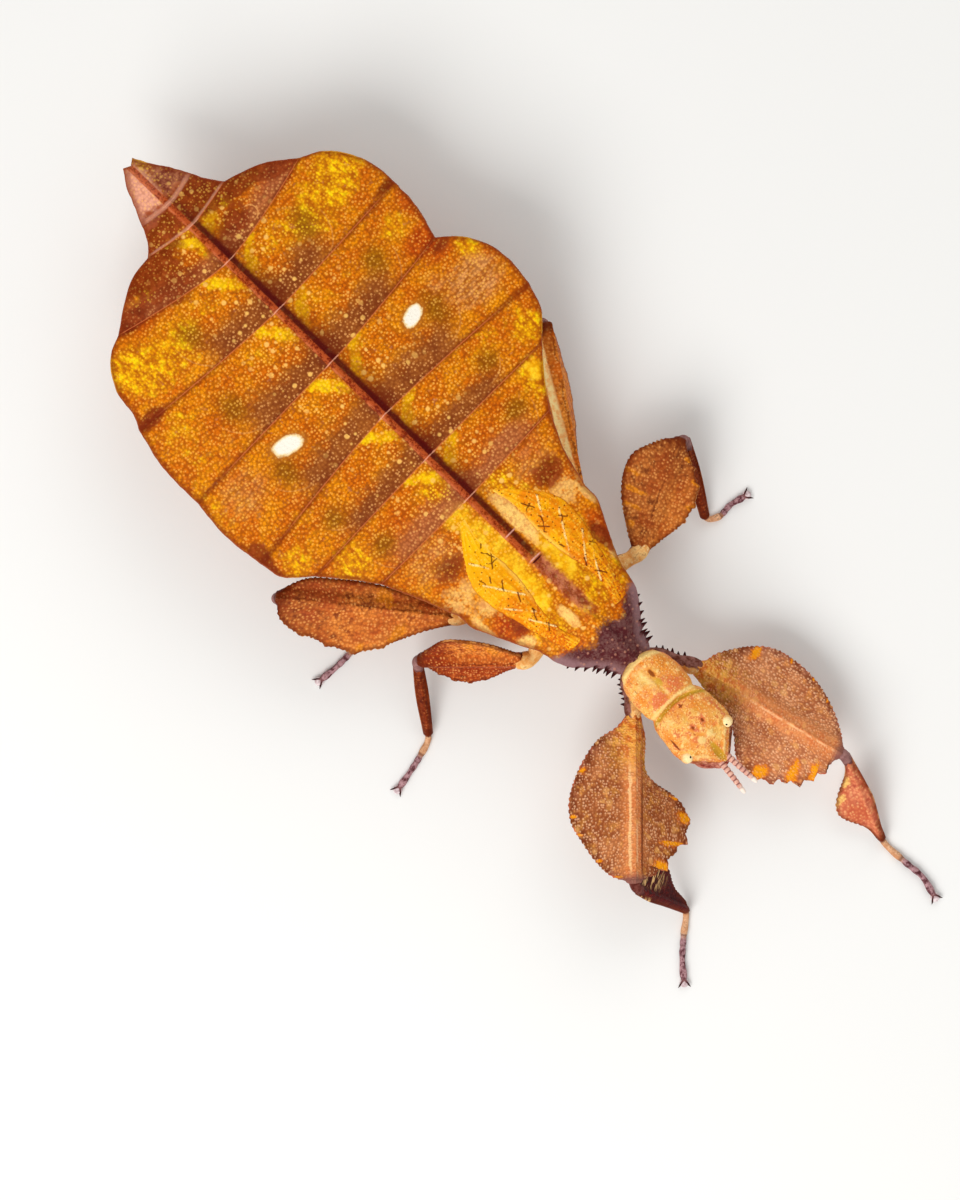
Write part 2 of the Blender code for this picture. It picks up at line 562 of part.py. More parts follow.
def blade(name, ends, shape, tilts, shaft, rows, leaf, sign):
    """A leg piece: a thick shaft with a thin leaf on each side of it."""
    length, outer_table, inner_table, teeth = shape
    base, tip = (np.asarray(end, float) for end in ends)
    axis = (tip - base) / np.linalg.norm(tip - base)
    scale = np.linalg.norm(tip - base) / length
    level = np.cross((0.0, 0.0, 1.0), axis) * sign
    level /= np.linalg.norm(level)
    upward = np.cross(axis, level) * sign
    shares = np.linspace(0, 1, rows)
    for place, height in teeth:
        shares = np.concatenate((shares[np.abs(shares - place) > TOOTH_CLEAR],
                                 (place - TOOTH_HALF, place, place + TOOTH_HALF)))
    shares = np.unique(shares)
    spine = base + axis * (shares * outer_table[-1][0] * scale)[:, None]
    wings = []
    for table, tilt, way, cusps in ((outer_table, tilts[0], 1, ()), (inner_table, tilts[1], -1, teeth)):
        edge = blade_edge(table, scale, shares, cusps)
        lean = math.radians(tilt)
        out = way * level * math.cos(lean) + upward * math.sin(lean)
        point = base + axis * edge[:, :1] + out * edge[:, 1:]
        reach = np.linalg.norm(point - spine, axis=1)
        toward = (point - spine) / reach[:, None]
        thick = np.minimum(shaft, SHAFT_SHARE * reach)
        outward = [thick + (reach - thick) * share for share in (*leaf, 1.0)]
        steps = np.column_stack([thick / 2, thick] + outward)
        rise = np.full(steps.shape[1], LEAF / 2)
        rise[0] += (shaft - LEAF / 2) * ROUND_HALF_WAY
        rise[-1] = BLADE_EDGE / 2
        normal = np.cross(axis, out)
        normal *= np.sign(normal @ upward) or 1.0
        place = spine[:, None] + toward[:, None] * steps[..., None]
        wings.append((place, rise, normal))
    (outer, rise, normal_out), (inner, _, normal_in) = wings
    middle = spine[:, None]
    crest = normal_out + normal_in
    crest /= np.linalg.norm(crest)
    places = np.concatenate((outer[:, ::-1], middle, inner), axis=1)
    lift = (np.outer(rise[::-1], normal_out), shaft * crest[None], np.outer(rise, normal_in))
    lift = np.concatenate(lift)
    return plate(name, places + lift, places - lift)


def make_foot(name, path):
    """Five swelling joints on a flat sole, with two claws at the end."""
    flat = [(along, side, FOOT_HEIGHT / 2) for along, side in path]
    fractions = np.array([place for place, swelling in FOOT_JOINTS])
    swelling = np.array([size for place, size in FOOT_JOINTS])
    rings = tube_rings(flat, fractions, FOOT_HALF * swelling, FOOT_SIDES)
    rings[..., 2] = np.where(rings[..., 2] < SOLE_REACH, 0.0, rings[..., 2])
    foot = loft(name, rings)
    end = rings[-1].mean(axis=0)
    forward = end[:2] - rings[-3].mean(axis=0)[:2]
    heading = math.atan2(forward[1], forward[0])
    claws = []
    for turn in (-CLAW_SPREAD, CLAW_SPREAD):
        reach = np.array((math.cos(heading + turn), math.sin(heading + turn), 0.0))
        root = np.array((end[0], end[1], CLAW_HEIGHT)) - CLAW_SINK * reach
        tip = root + (CLAW_LENGTH + CLAW_SINK) * reach - (0.0, 0.0, CLAW_DROP)
        claws.append(cone(f"{name}_claw_{turn:.1f}", root, tip, CLAW_RADIUS))
    combine(foot, claws, "UNION")


def make_coxa(name, ends, spiny, sign):
    """A short round piece between body and femur; a fore one has spines along its rear edge."""
    fractions = np.array([place for place, swelling in COXA_RINGS])
    radii = COXA_RADIUS * np.array([swelling for place, swelling in COXA_RINGS])
    coxa = loft(name, tube_rings(ends, fractions, radii, COXA_SIDES))
    if not spiny:
        return
    base, tip = (np.asarray(end, float) for end in ends)
    axis = (tip - base) / np.linalg.norm(tip - base)
    outward = np.cross((0.0, 0.0, 1.0), axis) * sign
    outward /= np.linalg.norm(outward)
    spines = []
    for number, share in enumerate(COXA_SPINES):
        root = base + (tip - base) * share + outward * (COXA_RADIUS / 2)
        point = root + outward * (COXA_RADIUS / 2 + COXA_SPINE_LENGTH) - axis * COXA_SPINE_LEAN
        spines.append(cone(f"{name}_spine_{number}", root, point, SPINE_RADIUS))
    combine(coxa, spines, "UNION")


def make_leg(name):
    """Coxa, femur, tibia and foot of one leg."""
    coxa, femur, tibia, foot, femur_tilts, tibia_tilts = LEGS[name]
    pair = name.split("_")[0]
    sign = 1 if name.endswith("left") else -1
    make_coxa("coxa_" + name, coxa, pair == "fore", sign)
    shape = FEMORA[name if pair == "fore" else pair]
    blade("femur_" + name, femur, shape, femur_tilts, FEMUR_SHAFT, FEMUR_ROWS[pair], LEAF_COLUMNS, sign)
    blade("tibia_" + name, tibia, TIBIAE[pair], tibia_tilts, TIBIA_SHAFT, TIBIA_ROWS[pair],
          LEAF_COLUMNS[1:] if pair == "fore" else (), sign)
    make_foot("tarsus_" + name, foot)


def main():
    """Build every node."""
    clear_objects()
    make_abdomen()
    make_thorax_piece("metathorax", META_LEFT, META_RIGHT, META_ROWS)
    make_mesothorax()
    make_wing_pads()
    make_head()
    for name in LEGS:
        make_leg(name)


main()
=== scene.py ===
"""Leaf insect, life size: the skin, markings, eyes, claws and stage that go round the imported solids.

Lengths are in millimetres and become metres when a mesh is made. A place is written as
(along, side, height): along runs from the tip of the abdomen towards the head, side is positive
on the insect's left, and height is measured from the floor.
"""
import math

import bpy
import numpy as np
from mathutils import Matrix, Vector
from bpy.props import FloatProperty, FloatVectorProperty, PointerProperty
from bpy.types import Operator, Panel, PropertyGroup


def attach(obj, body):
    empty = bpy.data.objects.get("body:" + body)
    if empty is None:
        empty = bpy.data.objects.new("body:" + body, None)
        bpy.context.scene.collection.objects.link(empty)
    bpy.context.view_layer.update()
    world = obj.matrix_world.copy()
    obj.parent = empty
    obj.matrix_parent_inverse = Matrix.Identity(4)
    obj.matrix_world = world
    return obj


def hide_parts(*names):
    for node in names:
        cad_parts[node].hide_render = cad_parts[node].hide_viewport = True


bl_info = {
    "name": "Leaf insect",
    "version": (1, 0, 0),
    "blender": (4, 5, 0),
    "location": "3D View > Sidebar > Leaf insect",
    "description": "Builds the skin and markings of a life-size leaf insect round its solids",
    "category": "Object",
}

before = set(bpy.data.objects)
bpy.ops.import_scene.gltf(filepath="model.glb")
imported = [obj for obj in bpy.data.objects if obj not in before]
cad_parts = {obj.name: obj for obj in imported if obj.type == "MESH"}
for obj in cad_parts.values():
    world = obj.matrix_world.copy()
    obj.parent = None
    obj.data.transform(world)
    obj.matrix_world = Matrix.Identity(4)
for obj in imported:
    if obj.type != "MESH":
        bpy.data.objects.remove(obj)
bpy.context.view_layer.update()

MM = 0.001
MIDLINE_X = 3.0
TAIL_Y = 55.0
# A distance that means that nothing is near
FAR = 9.0

# Trunk: height of the back, fall of the margin, depth and half width of the belly along the body
BACK_HEIGHT = ((-0.3, 11.5), (8, 12.3), (25, 12.9), (45, 12.5), (55, 12.1), (69.6, 12),
               (70.9, 11))
MARGIN_FALL = ((-0.3, 0.3), (8, 0.9), (25, 1), (45, 0.8), (55, 0.8), (62, 1.7), (70.9, 2.2))
BELLY_DEPTH = ((-0.3, 0.3), (8, 1.2), (25, 2), (45, 3), (55, 3.6), (64, 4.4), (70, 4),
               (70.9, 2.6))
BELLY_HALF = ((-0.3, 0.6), (8, 1.9), (25, 3), (45, 3.7), (55, 3.9), (64, 4.3), (70.9, 2.2))
BELLY_ROUNDNESS = 0.6
# Thickness of the solids' own leaf, round which the skin lies
SOLID_SKIN = 0.56
WAIST = 65.0
TRUNK_FRONT = 70.9
ROW_SPACE = 0.24
FRONT_SPACE = 0.1
TOP_COLUMNS = 131
BOTTOM_COLUMNS = 71

# Segments from the tip: where the front line crosses the midline, then left and right margins
TIP_MIDLINE = 0.5
TIP_MARGINS = ((-0.3, 0.6), (-0.2, -0.7))
SEGMENTS = (
    (5.6, ((1.4, 1.5), (3.2, 2.65), (4.8, 3.5)), ((1.2, -1.7), (3.2, -2.6), (5, -3.4))),
    (8.8, ((6.6, 4.4), (7.9, 5.35)), ((6.75, -4.3), (7.8, -5.35))),
    (13.9, ((8.35, 6.8), (9.4, 9.3), (11.6, 12.2)), ((8.1, -7.8), (9.15, -9.95), (11.1, -12.9))),
    (20.8, ((12.85, 14.4), (14.8, 15.9), (17.6, 16.95), (20.1, 17.1)),
     ((11.8, -14.6), (14.8, -16.95), (18.3, -17.7), (19.2, -18.2))),
    (28.2, ((22.8, 17), (26.8, 16)), ((23.5, -19.2), (28.4, -19.3))),
    (35.6, ((28.45, 17.75), (31.2, 19.25), (33.9, 19.6), (36.7, 19.25)),
     ((32.8, -19.7), (37.2, -19.2))),
    (41.6, ((39.2, 18.35), (41.7, 15.95)), ((39.1, -18.9), (41.9, -16.3))),
    (47.3, ((44.4, 13.6), (46.95, 11.7)), ((44.6, -14.1), (47.1, -12.3))),
    (54.85, ((51, 9.8), (54.85, 8.8)), ((51.2, -10.6), (54.85, -9.2))),
)
LINE_BEND = 1.4
META_LEFT = ((55.15, 8.8), (56.4, 8.75), (58, 8), (60, 7), (61.4, 6.3), (63, 5.7), (64.85, 5.3))
META_RIGHT = ((55.15, -9.2), (56.4, -9.1), (58, -8.5), (60, -7.6), (61.4, -6.9), (63, -6.1),
              (64.85, -5.7))
MESO_LEFT = ((65.15, 5.2), (66.5, 4.4), (68, 3.2), (69.2, 2.4), (69.95, 2.3), (70.9, 1.7))
MESO_RIGHT = ((65.15, -5.6), (66.5, -4.9), (68, -3.5), (69.2, -2.6), (69.95, -2.4), (70.9, -1.8))
MESO_SPINES = ((66.1, 0.05, 0.5), (66.8, 0.2, 0.65), (67.5, 0, 0.8), (68.1, 0.5, 0.8), (68.5, 0, 1.1),
               (69, 0.7, 0.9), (69.35, 0, 1.15), (69.9, 0.4, 1))

# Patches on the back by colour: along, side, reach along, reach to the side and strength
BACK_PATCHES = {
    "gold": (
        (15.2, 13.8, 2.4, 3, 1), (14.4, -14.6, 2.4, 2.6, 1), (16.9, 8.6, 2.4, 3.2, 0.55),
        (17, -11, 2.2, 3.4, 0.6), (23, 13.6, 1.8, 1.9, 0.6), (22, -15.6, 3, 2.8, 0.5),
        (26.2, -16.6, 2, 2.2, 0.45), (29.6, 17.6, 2.4, 1.2, 0.8), (30, -18.4, 3, 0.9, 0.5),
        (39.6, 16.4, 1.8, 1.9, 1), (37.4, 12.4, 1.8, 3.4, 0.5), (39.4, -16.6, 1.8, 2, 0.75),
        (37.6, -13.4, 1.8, 3, 0.35), (43.8, 13.4, 2.6, 1.9, 1), (43.4, -12.8, 2.2, 2.4, 0.85),
        (9.8, 1.7, 1.5, 1, 0.8), (9.3, 3.9, 0.9, 0.9, 0.9), (10.4, -1.2, 2.6, 0.7, 0.9),
        (10.3, -8.6, 1, 2, 0.8), (0.8, 0.7, 1.1, 1, 0.9), (15.6, -12.6, 3, 4.4, 0.6),
        (15.8, 11.8, 3, 4.4, 0.6), (32, -15, 2.6, 3, 0.3), (15.6, 5, 1.5, 4, 0.5), (15.4, -6, 1.5, 4, 0.5),
        (44, -1.9, 2.4, 1.5, 0.85), (23, 5.4, 1.4, 4, 0.35), (22.8, -5.6, 1.4, 4, 0.35),
        (58.4, 3.8, 6, 3, 1), (58, -3.6, 6, 3, 1), (63.2, 0, 1.6, 4, 0.6), (48.6, 3.2, 1.8, 1.8, 0.8),
        (50, 4.6, 2, 0.8, 0.5), (12, 11.4, 0.9, 1.4, 0.5), (8.4, 2.6, 0.5, 1, 1), (8.4, -2.8, 0.5, 1, 1),
    ),
    "yellow": (
        (43, 13.6, 1.4, 1.3, 0.8), (52.4, -2.2, 5.4, 2, 1), (57.6, 1.9, 3.4, 1.2, 1),
        (47.4, -2.2, 1.2, 1.6, 0.8), (58.8, -2.6, 2.6, 1.6, 0.8),
    ),
    "red": (
        (26.2, 15, 1.7, 2.4, 1), (22.4, 16.6, 2.4, 1.1, 0.7), (11.4, 9.4, 1.7, 3.4, 0.8),
        (11.6, -9.8, 1.7, 3.4, 0.75), (12.6, 3, 1.5, 2.4, 0.7), (28.4, 15.4, 0.9, 2, 0.7),
        (48.2, 7.6, 1.6, 2.4, 0.5), (48.8, -6.6, 1.3, 2.4, 0.4), (45.3, 5.5, 1.8, 4, 0.5),
        (45.3, -6, 1.8, 4, 0.5), (19.6, -15.8, 1, 2.4, 0.5), (43.2, 4.4, 1.4, 3, 0.5),
        (43, -6.4, 1.4, 3, 0.45), (65.2, 3.4, 1.2, 2, 0.6), (65, -3.6, 1.2, 2.2, 0.6),
        (58.6, 7.2, 3, 1.2, 0.8), (59.2, -6.3, 2.4, 1.9, 1),
    ),
    "brown": (
        # The patches at along 5.4 and 3.5, on the tip's left half, are painted shade
        (9, 6.9, 1.3, 3.4, 1), (8.9, -6.6, 1.5, 3.4, 1), (11, -11.2, 1, 2, 1),
        (10.4, 10.2, 1.1, 2.2, 0.85), (5.4, 2.6, 1.2, 2.4, 1), (7.6, 3.6, 1.4, 2.2, 0.9),
        (7.4, -3.8, 1.3, 2, 0.9), (11.6, -5.4, 2.2, 4.4, 0.6), (11.4, 3.4, 1.6, 2, 0.7),
        (3.5, 2, 1.7, 1.7, 1), (6.9, 2.6, 2.2, 2.6, 1), (6.8, -2.8, 2.2, 2.8, 1), (11, 11.4, 0.8, 2, 0.6),
        (19.3, -16.7, 0.9, 1.9, 0.85), (19.7, 16.2, 0.5, 1.8, 0.7), (36.3, -18.7, 1.5, 1, 0.8),
        (38.4, -18.7, 1.5, 0.7, 0.6), (51.2, 7.2, 1.5, 2, 0.75), (51, -6.4, 1.4, 2.2, 0.6),
        (59.4, 6.5, 2, 0.8, 1), (59.8, -5.7, 1.5, 1.1, 0.6), (27.7, 16, 0.7, 1.6, 0.6),
    ),
    "tan": (
        (32.6, 15.6, 2.6, 3.6, 1), (31.2, -15.4, 3, 3.4, 0.6), (30, 12.6, 1.8, 1.2, 0.5),
        (26, -12.6, 1.2, 1.6, 0.35), (49.2, 7, 2.6, 3.2, 0.6), (49.2, -7, 2.6, 3.4, 0.7),
    ),
    "pale": (
        # The patch at along 2.6, on the tip's right half, is painted light
        (53.6, 7.3, 1.7, 2.4, 0.46), (53.7, -7.8, 1.7, 2.6, 0.46), (2.6, -2.3, 3.4, 3, 1),
        (52, 1.7, 3.6, 0.8, 0.9), (62.6, -1.6, 1.6, 0.6, 0.8), (55.6, 8.6, 1.2, 0.5, 0.8),
        (61.4, 6.6, 0.8, 0.9, 0.9), (61.6, -6.6, 0.9, 1.2, 0.9), (56.4, -6.6, 1, 1.6, 0.5),
        (57.8, -8.4, 2.4, 0.45, 0.6),
    ),
}
# Round olive fields in both halves of segments seven to three: along, side of the middle and reach
FIRST_OLIVE = 3
OLIVE_FIELDS = ((16.6, 6.8, 3.2), (23.6, 9.1, 3.35), (31.1, 9.9, 3.3), (37.2, 9.8, 3), (44, 8.3, 3))
# Clear eyespots: along, side, half height, half width and slant
EYESPOTS = ((30.75, 8.85, 0.78, 1.2, -0.2), (30.85, -9, 0.92, 1.5, 0.22))

# Wing pads: inner and outer edges of the left one, tip to root, and its veins by their share
PAD_INNER = ((48.6, 1.9), (51.1, 2.25), (53.9, 2.3), (57.2, 2.45), (60.1, 3), (62.7, 3.1), (65, 2.4))
PAD_OUTER = ((48.6, 2.6), (50.4, 4.3), (53, 6), (56.1, 6.3), (58.8, 5.7), (61.8, 5), (65, 4))
PAD_ROWS = 220
PAD_COLUMNS = 72
PAD_VEINS = ((0.27, 0.30), (0.53, 0.50), (0.79, 0.74))

# Light diagonal veins and dark strokes of the pads: along and side of one end, then of the other
PAD_LINES = ((52, 4.7, 53.8, 3.7), (54.5, 5.3, 58, 3.1), (57.6, 5.5, 60, 3.5), (60, 4.6, 62.4, 3.2))
PAD_STROKES = {
    1: (
        (51.5, 3.2, 52.6, 3.7), (52.3, 2.9, 52, 3.7), (53.7, 3.6, 55.1, 2.8), (54.2, 2.7, 55, 3.4),
        (54.9, 4.9, 55.5, 5.3), (55.6, 4.6, 55.1, 5.2), (58.9, 5.2, 59.5, 5.6), (59.7, 3.7, 60.4, 3.3),
        (61.4, 3.6, 62.2, 4.1), (57, 2.9, 57.5, 3.1),
    ),
    -1: (
        (52, 3.2, 53.2, 2.5), (52.6, 2.4, 53.9, 3.5), (53.3, 3.4, 53.6, 2.6), (51.2, 2.4, 51.7, 2.9),
        (54.3, 4.3, 54.9, 4.7), (55.4, 3.7, 56.2, 4.3), (57.4, 3.5, 58.2, 3.9), (59.6, 3.6, 60.6, 4.1),
        (61.6, 3.4, 62.2, 3.9), (53.9, 5.3, 54.5, 5.1),
    ),
}

AXIS_START = (70.35, -0.15)
AXIS_TURN = math.radians(-3)
SQUARENESS = 2.4
# Front thorax and head in one skin: distance along the axis, half width, top and bottom
FRONT_RINGS = (
    (0, 1.2, 11.9, 8.7), (0.35, 1.85, 12.2, 8.5), (0.9, 2.35, 12.05, 8.4), (1.7, 2.75, 12.1, 8.35),
    (2.8, 2.98, 12.15, 8.3), (4.4, 2.98, 12.1, 8.3), (5.1, 2.94, 11.85, 8.35), (5.62, 2.8, 11.6, 8.5),
    (5.82, 2.72, 11.5, 8.6), (6.05, 2.82, 11.6, 8.45), (6.6, 3.08, 11.85, 8.3), (7.8, 3.3, 12.2, 8.1),
    (9.2, 3.45, 12.2, 8), (10.4, 3.35, 11.9, 7.9), (11.4, 2.85, 11.4, 7.9), (12.3, 2.05, 10.8, 7.9),
    (13, 1.3, 10.2, 8), (13.5, 0.75, 9.7, 8.2),
)
EYE_PLACE = (10.7, 2.68, 10.94)
EYE_RADIUS = 0.6
MOUTH = ((10.8, 1.5, 7.75, 6.7), (11.6, 2, 8, 6.3), (12.6, 1.9, 8.1, 6.3), (13.3, 1.3, 7.9, 6.5),
         (13.7, 0.8, 7.55, 6.8))
MOUTH_SHIFT = -0.45
# Jaw, palp and lip feeler of one side: distance, side and height along each, radius and joints
FEELERS = ((((12.7, 0.8, 8.2), (13.6, 0.62, 7.9), (14, 0.2, 7.5)), 0.42, 1),
           (((12, 1.2, 7.2), (12.9, 1.4, 6.8), (13.3, 1.2, 6.3), (13.4, 0.8, 6)), 0.2, 4),
           (((12.9, 0.6, 6.6), (13.6, 0.8, 6.2), (13.8, 0.5, 5.9)), 0.17, 3))
ANTENNA_START = (13.3, 0.45, 9.25)
ANTENNA_REACH = ((0.57, 0.05, 0.1), (1.57, 0.13, 0.35), (3.87, 0.35, 0.5))
# Marks of front thorax and head by pigment: distance, side, reach along, reach to the side and strength
FRONT_MARKS = {
    "orange": (
        (0.72, 0.25, 0.34, 0.32, 1), (2.1, 0.3, 0.9, 0.5, 0.8), (2, 1.8, 1.2, 0.8, 0.9),
        (3.8, -2.2, 1.2, 0.5, 0.7), (4.6, 2.5, 1.4, 0.5, 0.6), (8.2, 2, 1.2, 0.7, 0.6),
        (7.4, 1.4, 0.7, 0.5, 0.7), (8.2, -2.6, 1.4, 0.4, 0.7), (7.2, -0.2, 0.8, 0.4, 0.6),
        (9.9, 1.5, 0.8, 0.5, 0.6), (10, -1.4, 0.7, 0.5, 0.5),
    ),
    "brown": (
        (2.1, 0.36, 0.6, 0.26, 0.9), (1.5, -1.8, 0.3, 0.1, 0.6), (2.5, -2.05, 0.4, 0.1, 0.6),
        (6.42, 0.3, 0.3, 0.09, 1), (6.5, 0.3, 0.09, 0.36, 1), (8.9, 0.95, 0.3, 0.2, 0.8),
        (8.9, -0.3, 0.3, 0.2, 0.8), (9, -2.72, 0.9, 0.13, 0.9), (9.4, -0.6, 0.3, 0.12, 0.6),
        (9.1, 0.6, 0.3, 0.12, 0.5),
    ),
    "red": (
        (4.4, 1.4, 1.1, 1.1, 0.85), (4.6, -0.9, 1, 1.2, 0.85), (6.6, 0.3, 0.42, 0.3, 0.6),
        (8.75, 1, 0.55, 0.36, 0.9), (9.3, 0.75, 0.4, 0.3, 0.8), (8.75, -0.35, 0.55, 0.36, 0.9),
        (9.3, -0.1, 0.4, 0.3, 0.8), (9.9, 1.6, 0.5, 0.5, 0.5), (9.8, -1.2, 0.5, 0.5, 0.4),
        (9.1, -2.75, 0.9, 0.14, 0.8), (9.3, 2.95, 1.2, 0.2, 0.8),
    ),
    "olive": (
        (3.6, 0.15, 1.5, 0.3, 0.45), (1.9, -1, 1.2, 0.7, 0.35), (3.2, 0.4, 0.5, 0.3, 0.6),
        (7.8, 1, 0.6, 0.42, 0.3), (7.8, -0.3, 0.6, 0.42, 0.3), (12.6, 0, 1, 0.42, 1),
        (11.6, 0.08, 0.7, 0.3, 0.6),
    ),
    "pale": (
        (1.3, -0.6, 1, 1.1, 0.5), (3, -0.2, 1, 0.6, 0.4), (4.5, 0.22, 1, 0.3, 0.55),
        (2.6, -1.7, 1.2, 0.5, 0.4), (10.35, 0.7, 0.46, 0.46, 1), (10.35, -0.42, 0.46, 0.46, 1),
        (11.4, 1.3, 0.5, 0.7, 0.5), (11.4, -1.1, 0.5, 0.7, 0.5), (9.4, -1.7, 0.5, 0.5, 0.5),
        (7, -1.7, 0.6, 0.8, 0.5), (2.2, -0.5, 0.8, 0.4, 0.5),
    ),
}

# Femora: true length and both edges of the blade as (distance from root, width), then the teeth
LEFT_TEETH = ((0.60, 0.3), (0.675, 0.65), (0.74, 0.4), (0.80, 0.75), (0.86, 0.5), (0.925, 0.55))
RIGHT_TEETH = ((0.60, 0.3), (0.695, 0.85), (0.77, 0.25), (0.855, 0.85), (0.92, 0.3))
SMALL_TEETH = ((0.38, 0.22), (0.52, 0.3), (0.66, 0.3), (0.8, 0.25))
FEMORA = {
    "fore_left": (
        16.5,
        ((0, 0.7), (0.6, 1.1), (1.3, 2.3), (2.4, 3.5), (3.7, 4.7), (5, 5.55), (6.4, 6), (8, 6),
         (9.8, 5.7), (11.8, 4.9), (13.6, 3.7), (15.3, 2.1), (16.3, 0.8)),
        ((0, 0.8), (1.2, 1.2), (2.6, 1.8), (4.2, 2.2), (5.6, 2.8), (6.8, 4), (8.3, 5.9), (9.8, 6.45),
         (11.3, 6.35), (12.6, 5.5), (13.9, 4.85), (15, 3.85), (15.7, 2.5), (16.3, 0.9)),
        LEFT_TEETH,
    ),
    "fore_right": (
        16.9,
        ((0, 0.7), (1.2, 1.5), (2.6, 3.5), (4.4, 4.8), (6.5, 5.8), (9.2, 6.4), (10.8, 6.2), (12.9, 5),
         (14.6, 3.8), (16, 2.4), (16.7, 0.8)),
        ((0, 0.8), (2, 1.3), (6.2, 1.7), (7, 2.7), (7.9, 4.5), (9.2, 6), (11, 6.4), (12.2, 5.8),
         (13.4, 4.9), (14.5, 3.9), (15.5, 2.7), (16.7, 0.9)),
        RIGHT_TEETH,
    ),
    "mid": (
        12.7,
        ((0, 0.7), (2.1, 2), (3.7, 2.95), (5.4, 3.75), (7.4, 4.2), (9.4, 4), (11.1, 2.6), (12.3, 1.2),
         (12.6, 0.7)),
        ((0, 0.7), (2, 1.7), (4.3, 3), (6.2, 3.5), (8.2, 3.4), (10.1, 2.3), (11.8, 1.1), (12.6, 0.7)),
        SMALL_TEETH,
    ),
    "hind": (
        18,
        ((0, 0.8), (4, 1.5), (8, 2.3), (12, 2.4), (15.2, 2.1), (16.8, 1.3), (17.8, 0.7)),
        ((0, 0.8), (2.6, 1.6), (5.3, 2.9), (8, 4.2), (9.8, 4.6), (12, 4.2), (14, 3.6), (16.3, 2.9),
         (17.4, 1.9), (17.8, 0.8)),
        SMALL_TEETH,
    ),
}
TIBIAE = {
    "fore": (
        9.7,
        ((0, 0.5), (3.6, 0.85), (5.2, 0.95), (6.8, 0.75), (8.5, 0.5), (9.7, 0.45)),
        ((0, 0.5), (1.2, 0.5), (2.7, 1.3), (4.1, 2.4), (5.1, 2.95), (5.9, 3), (6.8, 2.3), (7.6, 1.4),
         (8.5, 0.8), (9.7, 0.45)),
        (),
    ),
    "fore_right": (
        9.7,
        ((0, 0.6), (2.7, 0.75), (5.5, 0.6), (9.7, 0.45)),
        ((0, 1.7), (0.8, 2.2), (2.2, 2.9), (3.5, 3.3), (4.5, 3), (5.6, 2.1), (6.6, 1.5), (8.2, 1.1),
         (9.2, 0.8), (9.7, 0.45)),
        (),
    ),
    "mid": (9.5, ((0, 0.5), (4, 0.7), (9.5, 0.5)), ((0, 0.5), (4, 0.65), (9.5, 0.5)), ()),
    "hind": (11, ((0, 0.55), (5, 0.8), (11, 0.5)), ((0, 0.55), (5, 0.7), (11, 0.5)), ()),
}
# Legs: coxa, femur and tibia from end to end, the foot's path, and the tilts of both pairs of blades
LEGS = {
    "fore_left": (((71.4, 1.5, 7), (74.9, 3.5, 7.2)), ((75.35, 3.8, 7.2), (92.1, 7.8, 5.8)),
                  ((92.6, 7.95, 5.5), (101.5, 4.7, 1)),
                  ((102, 4.6), (105, 4.65), (107.4, 4.8), (109.4, 4.3)), (-20, -12), (15, -15)),
    "fore_right": (((71.2, -1.6, 7), (73.95, -3.75, 7.4)), ((74.25, -4.05, 7.5), (86, -16.1, 9.3)),
                   ((86.8, -16.2, 8.7), (92.3, -14.5, 1)),
                   ((92.7, -14.8), (94.2, -16.7), (95.9, -18.6), (97.25, -19.75)), (0, -30), (15, -15)),
    "mid_left": (((62.4, 4.9, 7.4), (63.1, 7.05, 7.3)), ((63.2, 8, 7.3), (58.3, 19.1, 6.7)),
                 ((58.9, 19.4, 5.2), (65.6, 15.6, 1)),
                 ((66.05, 15.65), (66.7, 16.6), (66.7, 18.2), (67.1, 19.8)), (8, -8), (0, 0)),
    "mid_right": (((62.4, -4.9, 7.4), (62.95, -6.85, 7.3)), ((62.6, -7.75, 7.3), (55, -15.2, 6.9)),
                  ((55.1, -15.5, 5.2), (60.9, -20, 1)),
                  ((61.3, -20.4), (62, -22.4), (62.4, -24.2), (62.7, -26)), (62, -52), (0, 0)),
    "hind_left": (((56, 4.9, 7.5), (54.9, 7.6, 7.6)), ((54.5, 8.15, 7.6), (40.4, 17.8, 8.2)),
                  ((40.2, 17.5, 6.8), (34.5, 11.3, 1)),
                  ((34, 11.1), (32.2, 11.6), (30.6, 12.7), (29.4, 13.9)), (50, -74), (0, 0)),
    "hind_right": (((56, -4.9, 7.5), (55, -9, 7.7)), ((54.6, -9.6, 7.8), (40.4, -20.7, 9.2)),
                   ((40.7, -20.7, 7.7), (48.8, -17.5, 1)),
                   ((49.3, -18.05), (49.5, -19.8), (49.5, -21.8), (49.3, -23.7)), (2, -10), (0, 0)),
}
COXA_RADIUS = 0.95
COXA_RINGS = ((0, 0.75), (0.2, 1), (0.6, 0.8), (0.75, 0.95), (0.9, 0.9), (1, 0.7))
COXA_SPINES = ((0.1, 0.5), (0.25, 0.85), (0.38, 0.5), (0.5, 0.8), (0.66, 0.45), (0.82, 0.7))
# Feet: radius, height of the middle line, share of the radius at a joint, and swelling along the foot
FOOT_RADIUS = 0.34
FOOT_LINE = 0.36
JOINT_WAIST = 0.86
FOOT_JOINTS = ((0, 0.95), (0.16, 0.92), (0.34, 1.02), (0.38, JOINT_WAIST), (0.48, 1),
               (0.52, JOINT_WAIST), (0.62, 1), (0.66, JOINT_WAIST), (0.8, 0.9), (0.94, 1.1), (1, 0.8))
CLAW_SPREAD = math.radians(38)
CLAW_LENGTH = 1.25
CLAW_RADIUS = 0.2
# Blades: pitch of the fine teeth, and the space between rows of points
SAW_PITCH = 0.52
FORE_SPACE = 0.14
REAR_SPACE = 0.18
